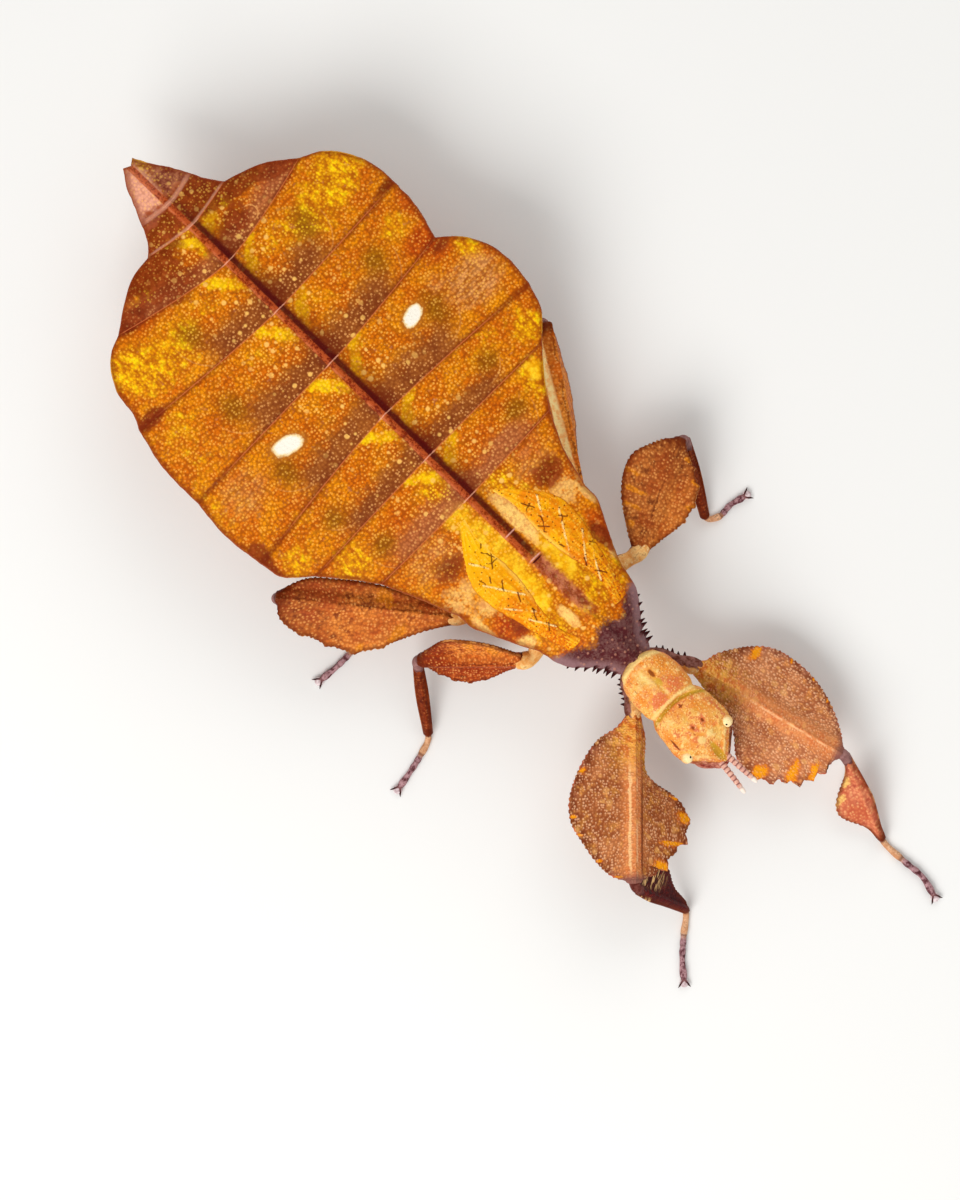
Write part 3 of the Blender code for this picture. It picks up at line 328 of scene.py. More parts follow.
# Patches at the inner and outer edges of the blades: share of the length, reach along, reach from the edge
INNER_PATCHES = {
    "femur_fore_left": ((0.61, 0.045, 1.7), (0.76, 0.035, 2.4), (0.865, 0.035, 1.8)),
    "femur_fore_right": ((0.48, 0.02, 0.9), (0.59, 0.036, 1.5), (0.725, 0.034, 2.4), (0.85, 0.032, 1.9)),
    "tibia_fore_left": ((0.265, 0.07, 0.9), (0.45, 0.06, 0.9)),
    "tibia_fore_right": ((0.1, 0.03, 1.2),),
    "femur_mid_left": ((0.5, 0.03, 0.7), (0.68, 0.03, 0.8), (0.86, 0.025, 0.8)),
    "femur_hind_right": ((0.3, 0.05, 1.6), (0.5, 0.03, 1)),
}
OUTER_PATCHES = {
    "femur_fore_left": ((0.32, 0.035, 1.5), (0.5, 0.012, 0.5), (0.64, 0.012, 0.4), (0.76, 0.012, 0.5)),
    "femur_fore_right": ((0.36, 0.025, 0.7), (0.585, 0.014, 0.8), (0.68, 0.012, 0.6), (0.83, 0.014, 0.7),
                         (0.95, 0.015, 0.7)),
    "femur_mid_left": ((0.34, 0.022, 2), (0.46, 0.024, 2.2), (0.58, 0.022, 1.8), (0.2, 0.03, 1)),
    "femur_hind_right": ((0.4, 0.06, 1.8),),
    "femur_mid_right": ((0.3, 0.08, 1.6), (0.5, 0.06, 1.6)),
}
# Mid and hind femora: ground, light, marks, cream line beside the shaft, painted light on the outer or
# inner half
REAR_FEMORA = (("mid_left", (164, 82, 40), (206, 124, 60), (98, 42, 28), 0, -0.35),
               ("mid_right", (156, 60, 26), (196, 92, 40), (88, 28, 16), 0, 0.8),
               ("hind_left", (216, 110, 36), (240, 150, 60), (140, 56, 20), 1, -0.5),
               ("hind_right", (176, 84, 42), (222, 130, 58), (108, 46, 32), 0, -0.45))
# What the stage's light adds to every colour, and the gloss of all finishes
SHEEN = 0.004
SPECULAR = 0.05

# Stage: floor, lights by place, size and setting, camera and light from all round, in metres
FLOOR_REACH = 1.5
FLOOR_LEVEL = -0.00005
LIGHTS = (("main_light", (-0.26, -0.07, 0.30), 0.26, "key"),
          ("fill_light", (0.30, 0.16, 0.26), 0.34, "fill"))
CAMERA_PLACE = (-0.0036, -0.0002)
CAMERA_TURN = math.radians(-45.62)
WORLD_LIGHT = 0.55


def srgb(red, green, blue):
    """The linear colour of display values from 0 to 255: each share to the power 2.2, less the sheen."""
    return tuple(max((value / 255) ** 2.2 - SHEEN, 0.001) for value in (red, green, blue))


def colour(name, shade, description):
    """A colour that a user may change."""
    return FloatVectorProperty(name=name, description=description, default=srgb(*shade), subtype="COLOR",
                               size=3, min=0.0, max=1.0)


def length(name, millimetres, description):
    """A length that a user may change, kept in metres."""
    return FloatProperty(name=name, description=description, unit="LENGTH", min=0.0, precision=5,
                         default=millimetres * MM)


def smooth_table(table, at):
    """The other columns of a table at places of its first, by cubic pieces that keep their slopes."""
    table = np.asarray(table, float)
    knots, values = table[:, 0], table[:, 1:]
    slopes = np.gradient(values, knots, axis=0)
    at = np.clip(np.atleast_1d(np.asarray(at, float)), knots[0], knots[-1])
    low = np.clip(np.searchsorted(knots, at, side="right") - 1, 0, len(knots) - 2)
    span = (knots[low + 1] - knots[low])[:, None]
    u = (at - knots[low])[:, None] / span
    start = values[low] * (1 + 2 * u) * (1 - u) ** 2 + slopes[low] * span * u * (1 - u) ** 2
    end = values[low + 1] * u * u * (3 - 2 * u) + slopes[low + 1] * span * u * u * (u - 1)
    return start + end


def read(table, at):
    """One number for each place, from a table of pairs."""
    at = np.asarray(at, float)
    return smooth_table(table, at.ravel())[:, 0].reshape(at.shape)


def smooth_path(points, fractions):
    """Places at the given shares of the length of a smooth curve through the points."""
    points = np.asarray(points, float)
    steps = np.linalg.norm(np.diff(points, axis=0), axis=1)
    knots = np.concatenate(([0.0], np.cumsum(steps))) / steps.sum()
    return smooth_table(np.column_stack((knots, points)), fractions)


def unit(vector):
    """A vector, or each row of a list of them, at length one."""
    vector = np.asarray(vector, float)
    return vector / np.linalg.norm(vector, axis=-1, keepdims=True)


def step(low, high, value):
    """Smooth rise from 0 at low to 1 at high: 3 t squared less 2 t cubed."""
    t = np.clip((value - low) / (high - low), 0, 1)
    return t * t * (3 - 2 * t)


def bell(distance, reach):
    """A round bump: e to the minus square of distance over reach."""
    return np.exp(-(distance / reach) ** 2)


def chance(i, j, seed):
    """A number from 0 to 1 that looks drawn by lot for whole i and j: the fraction of a large sine."""
    return np.mod(np.sin(i * 12.9898 + j * 78.233 + seed * 37.719) * 43758.5453, 1.0)


def grains(x, y, cell, seed):
    """Distance to the nearest of scattered points, one in each square cell, and that point's own chance."""
    column, row = np.floor(x / cell), np.floor(y / cell)
    nearest, luck = np.full(x.shape, FAR * cell), np.zeros(x.shape)
    for i in (-1, 0, 1):
        for j in (-1, 0, 1):
            a, b = column + i, row + j
            point_x = (a + 0.15 + 0.7 * chance(a, b, seed)) * cell
            point_y = (b + 0.15 + 0.7 * chance(a, b, seed + 1)) * cell
            distance = np.hypot(x - point_x, y - point_y)
            nearer = distance < nearest
            nearest = np.where(nearer, distance, nearest)
            luck = np.where(nearer, chance(a, b, seed + 2), luck)
    return nearest, luck


def drift(x, y, scale, seed):
    """Soft hills from -1 to 1: chances at the corners of square cells, blended smoothly."""
    x, y = x / scale, y / scale
    i, j = np.floor(x), np.floor(y)
    u, v = step(0, 1, x - i), step(0, 1, y - j)
    low = chance(i, j, seed) * (1 - u) + chance(i + 1, j, seed) * u
    high = chance(i, j + 1, seed) * (1 - u) + chance(i + 1, j + 1, seed) * u
    return 2 * (low * (1 - v) + high * v) - 1


def stroke_distance(strokes, along, side):
    """Distance from each place to the nearest of many straight strokes."""
    nearest = np.full(along.shape, FAR)
    for start, across, end, beyond in strokes:
        run, rise = end - start, beyond - across
        share = np.clip(((along - start) * run + (side - across) * rise) / (run ** 2 + rise ** 2), 0, 1)
        nearest = np.minimum(nearest, np.hypot(along - start - share * run, side - across - share * rise))
    return nearest


def patches(table, along, side):
    """Strength of each pigment over a surface, from many soft round patches.

    It is 1 less the product of (1 - strength x e^-(distance in reaches)^3) over the pigment's patches.
    """
    fields = {}
    for name, rows in table.items():
        missing = 1.0
        for centre, across, reach, spread, strength in rows:
            distance = ((along - centre) / reach) ** 2 + ((side - across) / spread) ** 2
            missing = missing * (1 - strength * np.exp(-distance ** 1.5))
        fields[name] = 1 - missing
    return fields


def full_turn(count):
    """Angles of even steps round a whole turn."""
    return np.arange(count) * 2 * math.pi / count


def per_ring(values, count):
    """One value for each ring, repeated for all the points of the ring."""
    return np.repeat(values[:, None], count, axis=1)


def beside(axis, sign):
    """The level direction square to an axis: to the left of its heading for sign 1, to the right for -1."""
    return unit(np.cross((0.0, 0.0, 1.0), axis)) * sign


def arrays(*places):
    """Places as arrays, so that they can be added."""
    return [np.asarray(place, float) for place in places]


class Surface:
    """One closed surface: its points, faces, values for the finish, and the number of that finish."""

    def __init__(self, rings, values, finish=0):
        """Rings of points joined by quads, and by triangles to the middle of each end ring."""
        count, around = rings.shape[:2]
        index = np.arange(count * around).reshape(count, around)
        onward = np.roll(index, -1, axis=1)
        quads = np.stack((index[:-1], onward[:-1], onward[1:], index[1:]), axis=-1).reshape(-1, 4)
        first, last = np.full(around, count * around), np.full(around, count * around + 1)
        fans = np.concatenate((np.stack((onward[0], index[0], first), axis=-1),
                               np.stack((index[-1], onward[-1], last), axis=-1)))
        self.points = self.with_ends(rings)
        self.values = {name: self.with_ends(field) for name, field in values.items()}
        self.finish = finish
        corners = np.concatenate((quads[:, :3], quads[:, [0, 2, 3]], fans))
        a, b, c = (self.points[corners[:, k]] for k in range(3))
        # A place's along runs against Y and the first two swap, which leaves the sense of a turn as it is
        inward = np.einsum("ij,ij->i", a, np.cross(b, c)).sum() < 0
        self.quads = quads[:, ::-1] if inward else quads
        self.fans = fans[:, ::-1] if inward else fans

    @staticmethod
    def with_ends(field):
        """A grid's values in one column, with the mean of its first and last ring at the end."""
        flat = field.reshape(field.shape[0] * field.shape[1], *field.shape[2:])
        return np.concatenate((flat, field[0].mean(axis=0)[None], field[-1].mean(axis=0)[None]))


def to_world(points):
    """Metres in the model's frame for places given as along, side and height in millimetres."""
    return np.column_stack((points[:, 1] + MIDLINE_X, TAIL_Y - points[:, 0], points[:, 2])) * MM


def add_object(name, data):
    """An object in the scene that shows a mesh, light or camera."""
    made = bpy.data.objects.new(name, data)
    bpy.context.scene.collection.objects.link(made)
    return made


def make_piece(name, surfaces, finishes, nodes=()):
    """One object from closed surfaces, with their values as attributes, riding on the insect's body."""
    points = to_world(np.concatenate([surface.points for surface in surfaces]))
    faces, numbers, offset = [], [], 0
    for surface in surfaces:
        faces += (surface.quads + offset).tolist() + (surface.fans + offset).tolist()
        numbers += [surface.finish] * (len(surface.quads) + len(surface.fans))
        offset += len(surface.points)
    mesh = bpy.data.meshes.new(name)
    mesh.from_pydata(points.tolist(), [], faces)
    mesh.shade_smooth()
    for finish in finishes:
        mesh.materials.append(finish)
    mesh.polygons.foreach_set("material_index", numbers)
    for field in sorted({key for surface in surfaces for key in surface.values}):
        wide = field == "flat"
        blank = (3,) if wide else ()
        data = [surface.values.get(field, np.zeros((len(surface.points), *blank))) for surface in surfaces]
        data = np.concatenate(data).astype(np.float32)
        attribute = mesh.attributes.new(field, "FLOAT_VECTOR" if wide else "FLOAT", "POINT")
        attribute.data.foreach_set("vector" if wide else "value", data.ravel())
    piece = add_object(name, mesh)
    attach(piece, "root")
    if nodes:
        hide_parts(*nodes)


def wrapped(top, bottom, bulge):
    """Rings round a thin body: over the top, round one rim, back below and round the other rim."""
    rims = []
    for column, inner in ((-1, -2), (0, 1)):
        outward = unit(top[:, column] - top[:, inner])
        rims.append((top[:, column] + bottom[:, column]) / 2 + outward * bulge)
    return np.concatenate((top, rims[0][:, None], bottom[:, ::-1], rims[1][:, None]), axis=1)


def wrapped_field(top, bottom):
    """Values for the points of such rings: at each rim the mean of the values above and below it."""
    rims = [(top[:, column] + bottom[:, column]) / 2 for column in (-1, 0)]
    return np.concatenate((top, rims[0][:, None], bottom[:, ::-1], rims[1][:, None]), axis=1)


def rounded(rings, depth, turns=3):
    """The rings with round ends: each end ring shrinks by a cosine while it moves out by a sine."""
    turn = np.linspace(0, math.pi / 2, turns + 2)[1:-1]
    ends = []
    for ring, inner in ((rings[0], rings[1]), (rings[-1], rings[-2])):
        middle = ring.mean(axis=0)
        outward = unit(middle - inner.mean(axis=0))
        shrunk = middle + (ring - middle) * np.cos(turn)[:, None, None]
        ends.append(shrunk + outward * depth * np.sin(turn)[:, None, None])
    return np.concatenate((ends[0][::-1], rings, ends[1]))


def rounded_field(field, turns=3):
    """Values for the rings that rounded() adds: those of the end rings."""
    first, last = (np.repeat(end, turns, axis=0) for end in (field[:1], field[-1:]))
    return np.concatenate((first, field, last))


def round_surface(rings, depth, fields, finish=0):
    """A closed surface with round ends, from rings and the values of their points."""
    fields = {name: rounded_field(field) for name, field in fields.items()}
    return Surface(rounded(rings, depth), fields, finish)


def tube_rings(path, fractions, radii, sides):
    """Rings across a smooth path: radius times the cosine and sine of the turn, level and upright."""
    centres = smooth_path(path, fractions)
    tangents = unit(np.gradient(centres, axis=0))
    across = unit(np.cross(tangents, (0.0, 0.0, 1.0)))
    upward = np.cross(across, tangents)
    turn = full_turn(sides)
    spread = across[:, None] * np.cos(turn)[:, None] + upward[:, None] * np.sin(turn)[:, None]
    return centres[:, None] + spread * radii[:, None, None]


class Value:
    """A shader socket that takes part in sums, each of which adds one Math node."""

    def __init__(self, finish, socket):
        self.finish = finish
        self.socket = socket

    def math(self, operation, first, second=0.0):
        """The result of one Math node."""
        return self.finish.node("ShaderNodeMath", {"operation": operation}, {0: first, 1: second})

    def __add__(self, other):
        return self.math("ADD", self, other)

    def __sub__(self, other):
        return self.math("SUBTRACT", self, other)

    def __rsub__(self, other):
        return self.math("SUBTRACT", other, self)

    def __mul__(self, other):
        return self.math("MULTIPLY", self, other)

    def __abs__(self):
        return self.math("ABSOLUTE", self)

    def __pow__(self, other):
        return self.math("POWER", self, other)

    __radd__ = __add__
    __rmul__ = __mul__

    def fraction(self):
        """What is left of the value without its whole number."""
        return self.math("FRACT", self)

    def lesser(self, other):
        """The smaller of two values."""
        return self.math("MINIMUM", self, other)

    def larger(self, other):
        """The larger of two values."""
        return self.math("MAXIMUM", self, other)

    def part(self, name):
        """Another output of the same node."""
        return Value(self.finish, self.socket.node.outputs[name])


class Finish:
    """A material while it is made: its nodes, the shader that they feed and the colour painted so far.

    Its patterns read the place in millimetres, or where unrolled is set, the place kept as flat.
    """

    def __init__(self, name, roughness, unrolled=False):
        self.material = bpy.data.materials.new(name)
        self.material.use_nodes = True
        self.tree = self.material.node_tree
        self.shader = self.tree.nodes["Principled BSDF"]
        self.shader.inputs["Roughness"].default_value = roughness
        self.shader.inputs["Specular IOR Level"].default_value = SPECULAR
        self.colour = None
        if unrolled:
            self.place = self.kept("flat", "Vector")
        else:
            metres = self.node("ShaderNodeTexCoord", {}, {}, "Object")
            self.place = self.node("ShaderNodeMapping", {}, {
                "Vector": metres, "Scale": (1 / MM,) * 3, "Location": (-MIDLINE_X, -TAIL_Y, 0.0)})

    def node(self, kind, settings, sockets, out=0):
        """One node: its settings first, then the values or links of its sockets."""
        made = self.tree.nodes.new(kind)
        for name, setting in settings.items():
            setattr(made, name, setting)
        for name, value in sockets.items():
            socket = made.inputs[name]
            if isinstance(value, Value):
                self.tree.links.new(value.socket, socket)
            elif isinstance(value, (int, float)):
                socket.default_value = value
            else:
                missing = len(socket.default_value) - len(value)
                socket.default_value = (*value, *(1.0,) * missing)
        return Value(self, made.outputs[out])

    def mix(self, share, first, second):
        """The second colour laid over the first by the given share. A tuple holds display values."""
        first, second = (srgb(*shade) if isinstance(shade, tuple) else shade for shade in (first, second))
        return self.node("ShaderNodeMix", {"data_type": "RGBA"}, {0: share, 6: first, 7: second}, 2)

    def ground(self, first, second, tone):
        """Start with two colours, blended by a tone."""
        self.colour = self.mix(tone, first, second)

    def paint(self, share, shade, other=None, tone=None):
        """Lay a colour, or a blend of two by a tone, over what is there by the given share."""
        self.colour = self.mix(share, self.colour, self.mix(tone, shade, other) if other else shade)

    def fade(self, low, high, value):
        """Smooth rise from 0 at low to 1 at high, or a fall where low is the larger."""
        return self.node("ShaderNodeMapRange", {"interpolation_type": "SMOOTHSTEP"},
                         {"Value": value, "From Min": low, "From Max": high})

    def kept(self, name, out="Fac"):
        """What the mesh keeps for each point under a name."""
        return self.node("ShaderNodeAttribute", {"attribute_name": name}, {}, out)

    def axis(self, letter):
        """One of the three numbers of the place."""
        return self.node("ShaderNodeSeparateXYZ", {}, {"Vector": self.place}, letter)

    def vector(self, operation, first, second):
        """The result of one Vector Math node."""
        return self.node("ShaderNodeVectorMath", {"operation": operation}, {0: first, 1: second})

    def moved(self, place, shift):
        """A place pushed along, so that two patterns on it differ."""
        return self.vector("ADD", place, (shift, 1.7 * shift, 0.0))

    def squeezed(self, across, along):
        """The place scaled to the side and along the body, so that patterns on it stretch the other way."""
        return self.vector("MULTIPLY", self.place, (across, along, 1.0))

    def noise(self, size, shift=0.0, detail=2.0, place=None):
        """Soft noise from -0.5 to 0.5 with hills of about the given size in millimetres."""
        place = self.moved(place or self.place, shift)
        return self.node("ShaderNodeTexNoise", {}, {"Vector": place, "Scale": 1 / size, "Detail": detail,
                                                    "Roughness": 0.6}) - 0.5

    def noises(self, *kinds):
        """One noise for each size, shift and detail."""
        return [self.noise(*kind) for kind in kinds]

    def cells(self, size, shift=0.0, dimensions="2D"):
        """Distance in millimetres to the nearest of scattered points, and a chance of that point's own."""
        cell = self.node("ShaderNodeTexVoronoi", {"voronoi_dimensions": dimensions},
                         {"Vector": self.moved(self.place, shift), "Scale": 1 / size})
        luck = self.node("ShaderNodeSeparateColor", {}, {"Color": cell.part("Color")})
        return cell * size, luck

    def specks(self, size, smallest, largest, shift=0.0, dimensions="2D", soft=0.05):
        """Round specks one to a cell: 1 inside a radius that chance sets between two sizes, 0 outside."""
        distance, luck = self.cells(size, shift, dimensions)
        return self.fade(soft, -soft, distance - (smallest + luck * (largest - smallest)))

    def done(self, height=None, depth=0.05, roughness=None):
        """Feed the shader the colour painted, and a height whose full rise is depth in millimetres."""
        self.tree.links.new(self.colour.socket, self.shader.inputs["Base Color"])
        if height is not None:
            bump = self.node("ShaderNodeBump", {}, {"Height": height, "Distance": depth * MM,
                                                    "Strength": 1.0})
            self.tree.links.new(bump.socket, self.shader.inputs["Normal"])
        if roughness is not None:
            self.tree.links.new(roughness.socket, self.shader.inputs["Roughness"])
        return self.material


class TrunkSettings(PropertyGroup):
    """Sizes and colours of the back."""

    skin: length("Skin", 0.4, "Thickness of the leaf-like abdomen")
    ridge: length("Ridge", 0.36, "Height of the ridge along the midline")
    ground: colour("Ground", (206, 104, 8), "Orange of the middle of each segment")
    gold: colour("Gold", (236, 162, 8), "Golden outer areas")
    red: colour("Red", (166, 50, 8), "Red patches")
    brown: colour("Brown", (104, 38, 18), "Dark patches and rims")
    olive: colour("Olive", (134, 88, 14), "Olive spots at the outer end of each round field")
    band: colour("Band", (116, 62, 36), "Dark band along the front of each segment")
    speck: colour("Speck", (246, 184, 82), "Fine pale specks")
    thorax: colour("Thorax", (84, 40, 42), "Dark middle thorax")


def back_height(along, share):
    """Height of the plain back: that of the midline, less the margin's fall times share squared."""
    return read(BACK_HEIGHT, along) - read(MARGIN_FALL, along) * share ** 2


def trunk_rows():
    """Rows across the trunk: midline, left margin, right margin, and segment number plus share of it.

    Rows of a segment crowd towards its lines: share = 0.6 t + 0.4 (1 - cos(pi t)) / 2 for even steps t.
    """
    rows = []
    rear_middle, rear = TIP_MIDLINE, TIP_MARGINS
    for number, (front_middle, *margins) in enumerate(SEGMENTS):
        count = round((front_middle - rear_middle) / ROW_SPACE)
        even = np.arange(count) / count
        share = 0.6 * even + 0.2 * (1 - np.cos(math.pi * even))
        left, right = (smooth_path((start,) + margin, share) for start, margin in zip(rear, margins))
        middle = rear_middle + (front_middle - rear_middle) * share
        rows.append(np.column_stack((middle, left, right, number + share)))
        rear_middle, rear = front_middle, (margins[0][-1], margins[1][-1])
    at = np.concatenate((np.arange(rear_middle, WAIST, ROW_SPACE),
                         np.arange(WAIST, TRUNK_FRONT, FRONT_SPACE), [TRUNK_FRONT]))
    left = read(rear[:1] + META_LEFT + MESO_LEFT, at)
    right = read(rear[1:] + META_RIGHT + MESO_RIGHT, at)
    count = len(SEGMENTS)
    number = np.where(at < WAIST, count + (at - rear_middle) / (WAIST - rear_middle),
                      count + 1 + (at - WAIST) / (TRUNK_FRONT - WAIST))
    rows.append(np.column_stack((at, at, left, at, right, number)))
    return np.concatenate(rows)


def trunk_grid(rows, columns):
    """Along, side, half width and share of it at columns across each row.

    Columns crowd towards midline and rim: share = q - 0.08 sin(2 pi q) for even steps q from -1 to 1.
    A row bends with the power 1.4 of the share, from its midline to its margins.
    """
    even = np.linspace(-1, 1, columns)
    share = even - 0.08 * np.sin(2 * math.pi * even)
    left = share > 0
    margin = np.where(left, rows[:, 1:2], rows[:, 3:4])
    half = np.where(left, rows[:, 2:3], -rows[:, 4:5])
    along = rows[:, :1] + (margin - rows[:, :1]) * np.abs(share) ** LINE_BEND
    return along, share * half, half, np.abs(share) + 0 * half


def trunk_fields(rows, along, side, half, share, under):
    """What the finish of the trunk needs to know about each point.

    phase is the segment's number plus the share of it, line the distance to the nearest segment line, ring
    that outside the round olive field, outer that beyond the field's middle, and rim that to the margin.
    """
    phase = per_ring(rows[:, 5], along.shape[1])
    number = phase.astype(int)
    part = phase - number
    line = np.full(along.shape, FAR)
    ring, outer = np.full(along.shape, 5.0), np.full(along.shape, -5.0)
    for k in range(len(SEGMENTS) + 1):
        chosen = np.flatnonzero(number[:, 0] == k)
        after = chosen[-1] + 1
        span = np.hypot(along[after] - along[chosen[0]], side[after] - side[chosen[0]])
        rear = part[chosen] * span if 0 < k < len(SEGMENTS) else FAR
        front = (1 - part[chosen]) * span if k < len(SEGMENTS) - 1 else FAR
        line[chosen] = np.minimum(rear, front)
        if 0 <= k - FIRST_OLIVE < len(OLIVE_FIELDS):
            centre, place, reach = OLIVE_FIELDS[k - FIRST_OLIVE]
            beyond = np.abs(side[chosen]) - place
            ring[chosen] = np.hypot((along[chosen] - centre) / 1.25, np.maximum(beyond, 0)) - reach
            outer[chosen] = beyond
    return {"phase": phase, "line": line, "ring": ring, "outer": outer, "rim": half * (1 - share),
            "under": np.full(along.shape, float(under)), **patches(BACK_PATCHES, along, side)}


def trunk_surface(settings):
    """The whole trunk as one closed skin, a thin leaf with a ridge above and a belly below.

    Height of the top = plain back + half thickness + ridge x e^-(side / 0.5)^2, with a narrow crest, a
    swelling of each segment and a groove at each line. The belly hangs below by its depth times
    (1 - (side / half width)^2)^0.6.
    """
    skin, ridge = settings.skin / MM, settings.ridge / MM
    rows = trunk_rows()
    grids = []
    for columns, under in ((TOP_COLUMNS, False), (BOTTOM_COLUMNS, True)):
        along, side, half, share = trunk_grid(rows, columns)
        fields = trunk_fields(rows, along, side, half, share, under)
        number = np.minimum(fields["phase"].astype(int), len(SEGMENTS))
        part = fields["phase"] - number
        top = back_height(along, share) + SOLID_SKIN / 2
        lines = 0.07 * bell(fields["line"], 0.09) - 0.11 * bell(fields["line"], 0.26)
        waves = 0.07 * drift(along, side, 2.6, 3) * share + 0.03 * drift(along, side, 0.9, 5)
        if under:
            belly = np.clip(1 - (side / read(BELLY_HALF, along)) ** 2, 0, None) ** BELLY_ROUNDNESS
            thick = skin - 0.5 * skin * share ** 3
            warts = np.zeros(along.shape)
            height = top - thick - (read(BELLY_DEPTH, along) + SOLID_SKIN - skin) * belly - lines + waves
        else:
            crest = ridge * bell(side, 0.5) + 0.12 * bell(side + 0.28, 0.16)
            swelling = 0.13 * np.sin(math.pi * np.clip(part, 0, 1)) * (1 - share ** 2)
            swelling = swelling * (number < len(SEGMENTS))
            warts, luck = grains(along, side, 0.62, 11)
            warts = step(0.26, 0.08, warts) * (0.35 + 0.65 * luck) * step(64.6, 66.0, along)
            height = top + crest + lines * step(0.1, 0.6, np.abs(side)) + swelling + waves + 0.16 * warts
        fields["wart"] = warts
        ripple = 0.05 * drift(along, side, 0.5, 7) * bell(half * (1 - share), 0.4)
        grids.append((np.dstack((along, side * (1 + ripple / half), height)), fields))
    (top, above), (bottom, below) = grids
    rings = wrapped(top, bottom, 0.06)
    return Surface(rings, {name: wrapped_field(above[name], below[name]) for name in above})


def trunk_finish(settings):
    """Orange back with gold, red, brown and olive areas, a dark band, a yellow wedge and pale specks."""
    f = Finish("back", 0.5)
    side, along = f.axis("X"), 0 - f.axis("Y")
    away = abs(side)
    phase, line, rim, ring, outer = map(f.kept, ("phase", "line", "rim", "ring", "outer"))
    part = phase.fraction()
    wide, mid, fine = f.noises((2.6, 3), (0.9, 9, 4), (0.24, 17, 3))
    blotch = f.noise(1.7, 37, 3)
    long = f.noise(0.62, 23, 3, f.squeezed(1.0, 0.55))
    cross = f.noise(0.42, 31, 3, f.squeezed(0.3, 1.0))
    middle = f.fade(8.0, 7.98, phase)

    # Ground and the pigments under the pattern
    f.ground(settings.ground, (230, 140, 14), f.fade(-0.16, 0.2, wide + mid * 0.7))
    f.paint(f.fade(0.02, 0.24, blotch + mid * 0.4) * 0.55, (180, 82, 10))
    f.paint(f.fade(-0.02, 0.16, fine + mid * 0.6) * 0.4, (140, 62, 6))
    gold = f.fade(0.25, 0.85, f.kept("gold") + mid * 1.1 + wide * 0.6)
    golden = f.mix(f.fade(-0.12, 0.1, long), (186, 104, 4), settings.gold)
    golden = f.mix(f.fade(0.04, 0.18, long + fine * 0.2), golden, (255, 212, 26))
    f.paint(gold * 0.95, golden)
    tan = f.fade(0.2, 0.9, f.kept("tan") + mid * 0.8)
    f.paint(tan * 0.8, (184, 108, 46), (224, 154, 88), f.fade(-0.1, 0.12, cross))
    red = f.fade(0.2, 0.85, f.kept("red") + mid * 0.8 + wide * 0.5)
    f.paint(red * 0.85, settings.red, (206, 92, 26), f.fade(-0.14, 0.18, mid))
    yellow = f.fade(0.3, 0.75, f.kept("yellow") + mid * 0.7)
    f.paint(yellow * 0.9, (232, 160, 14), (252, 202, 48), f.fade(-0.1, 0.16, mid))
    pale = f.fade(0.15, 0.6, f.kept("pale") + mid * 1.3 + fine * 0.6)
    cream = f.mix(f.fade(40, 46, along), (228, 160, 134), (250, 202, 112))
    blush = f.mix(f.fade(40, 46, along), (206, 134, 102), (214, 130, 70))
    f.paint(pale * 0.92, cream, blush, f.fade(-0.04, 0.16, mid + fine * 0.4) * 0.7)

    # Dark band, olive spot and pale ring of each segment
    band = f.fade(0.46, 0.8, part + wide * 0.4 + mid * 0.35) * f.fade(2.8, -0.8, outer + mid * 2) * middle
    band = band * f.fade(17, 9, away + wide * 6) * f.fade(1.98, 2.0, phase)
    shade = f.mix(f.fade(-0.16, 0.2, wide + mid * 0.5 + fine * 0.4), settings.band, (152, 86, 44))
    shade = f.mix(f.fade(41, 43, along).larger(f.fade(14, 12, along)) * 0.5, shade, (206, 120, 74))
    f.paint(band * 0.9, shade)
    reach = ((outer - 1.1) ** 2 + ((part - 0.52) * 6.5) ** 2) ** 0.5
    spot = f.fade(2.1, 0.3, reach + mid * 2.4 + fine)
    f.paint(spot * 0.75, settings.olive)
    arc = f.fade(0.1, 0.03, abs(ring + mid * 0.3)) * f.fade(-1.5, 1.0, outer)
    arc = arc * f.fade(0.5, 0.7, part) * middle
    f.paint(arc * 0.5, (222, 150, 78))

    # Yellow wedges beside the midline, the left one darker with painted shade, and the brown areas
    near = (2.4 - part * 7.0).larger(0.6)
    wedge = f.fade(-0.45, 0.45, 3.9 - part * 6.2 - away + mid * 2.6 + fine)
    wedge = wedge * f.fade(-0.2, 0.3, away - near + mid)
    wedge = wedge * f.fade(2.0, 2.02, phase) * middle * f.fade(0.62, 0.3, part + mid)
    right = f.mix(f.fade(-0.14, 0.12, mid + fine * 0.3), (232, 156, 8), (254, 204, 26))
    # Painted shade: the left wedge's colours are darker copies of the right one's
    left = f.mix(f.fade(-0.1, 0.14, mid + fine * 0.3), (206, 132, 10), (234, 172, 22))
    f.paint(wedge * 0.95, left, right, f.fade(0.5, -0.5, side))
    brown = f.fade(0.15, 0.6, f.kept("brown") + mid * 1.1 + wide * 0.4)
    f.paint(brown * 0.9, settings.brown, (146, 64, 32), f.fade(-0.14, 0.2, mid + fine * 0.4))

    # Painted shade: plum over the tip's left half, the side turned from the light
    tip = f.fade(5.6, 4.4, along + mid) * f.fade(0.1, 0.8, side + mid * 0.4)
    f.paint(tip * 0.6, (112, 58, 52), (190, 126, 92), f.fade(-0.14, 0.14, mid + fine * 0.4))

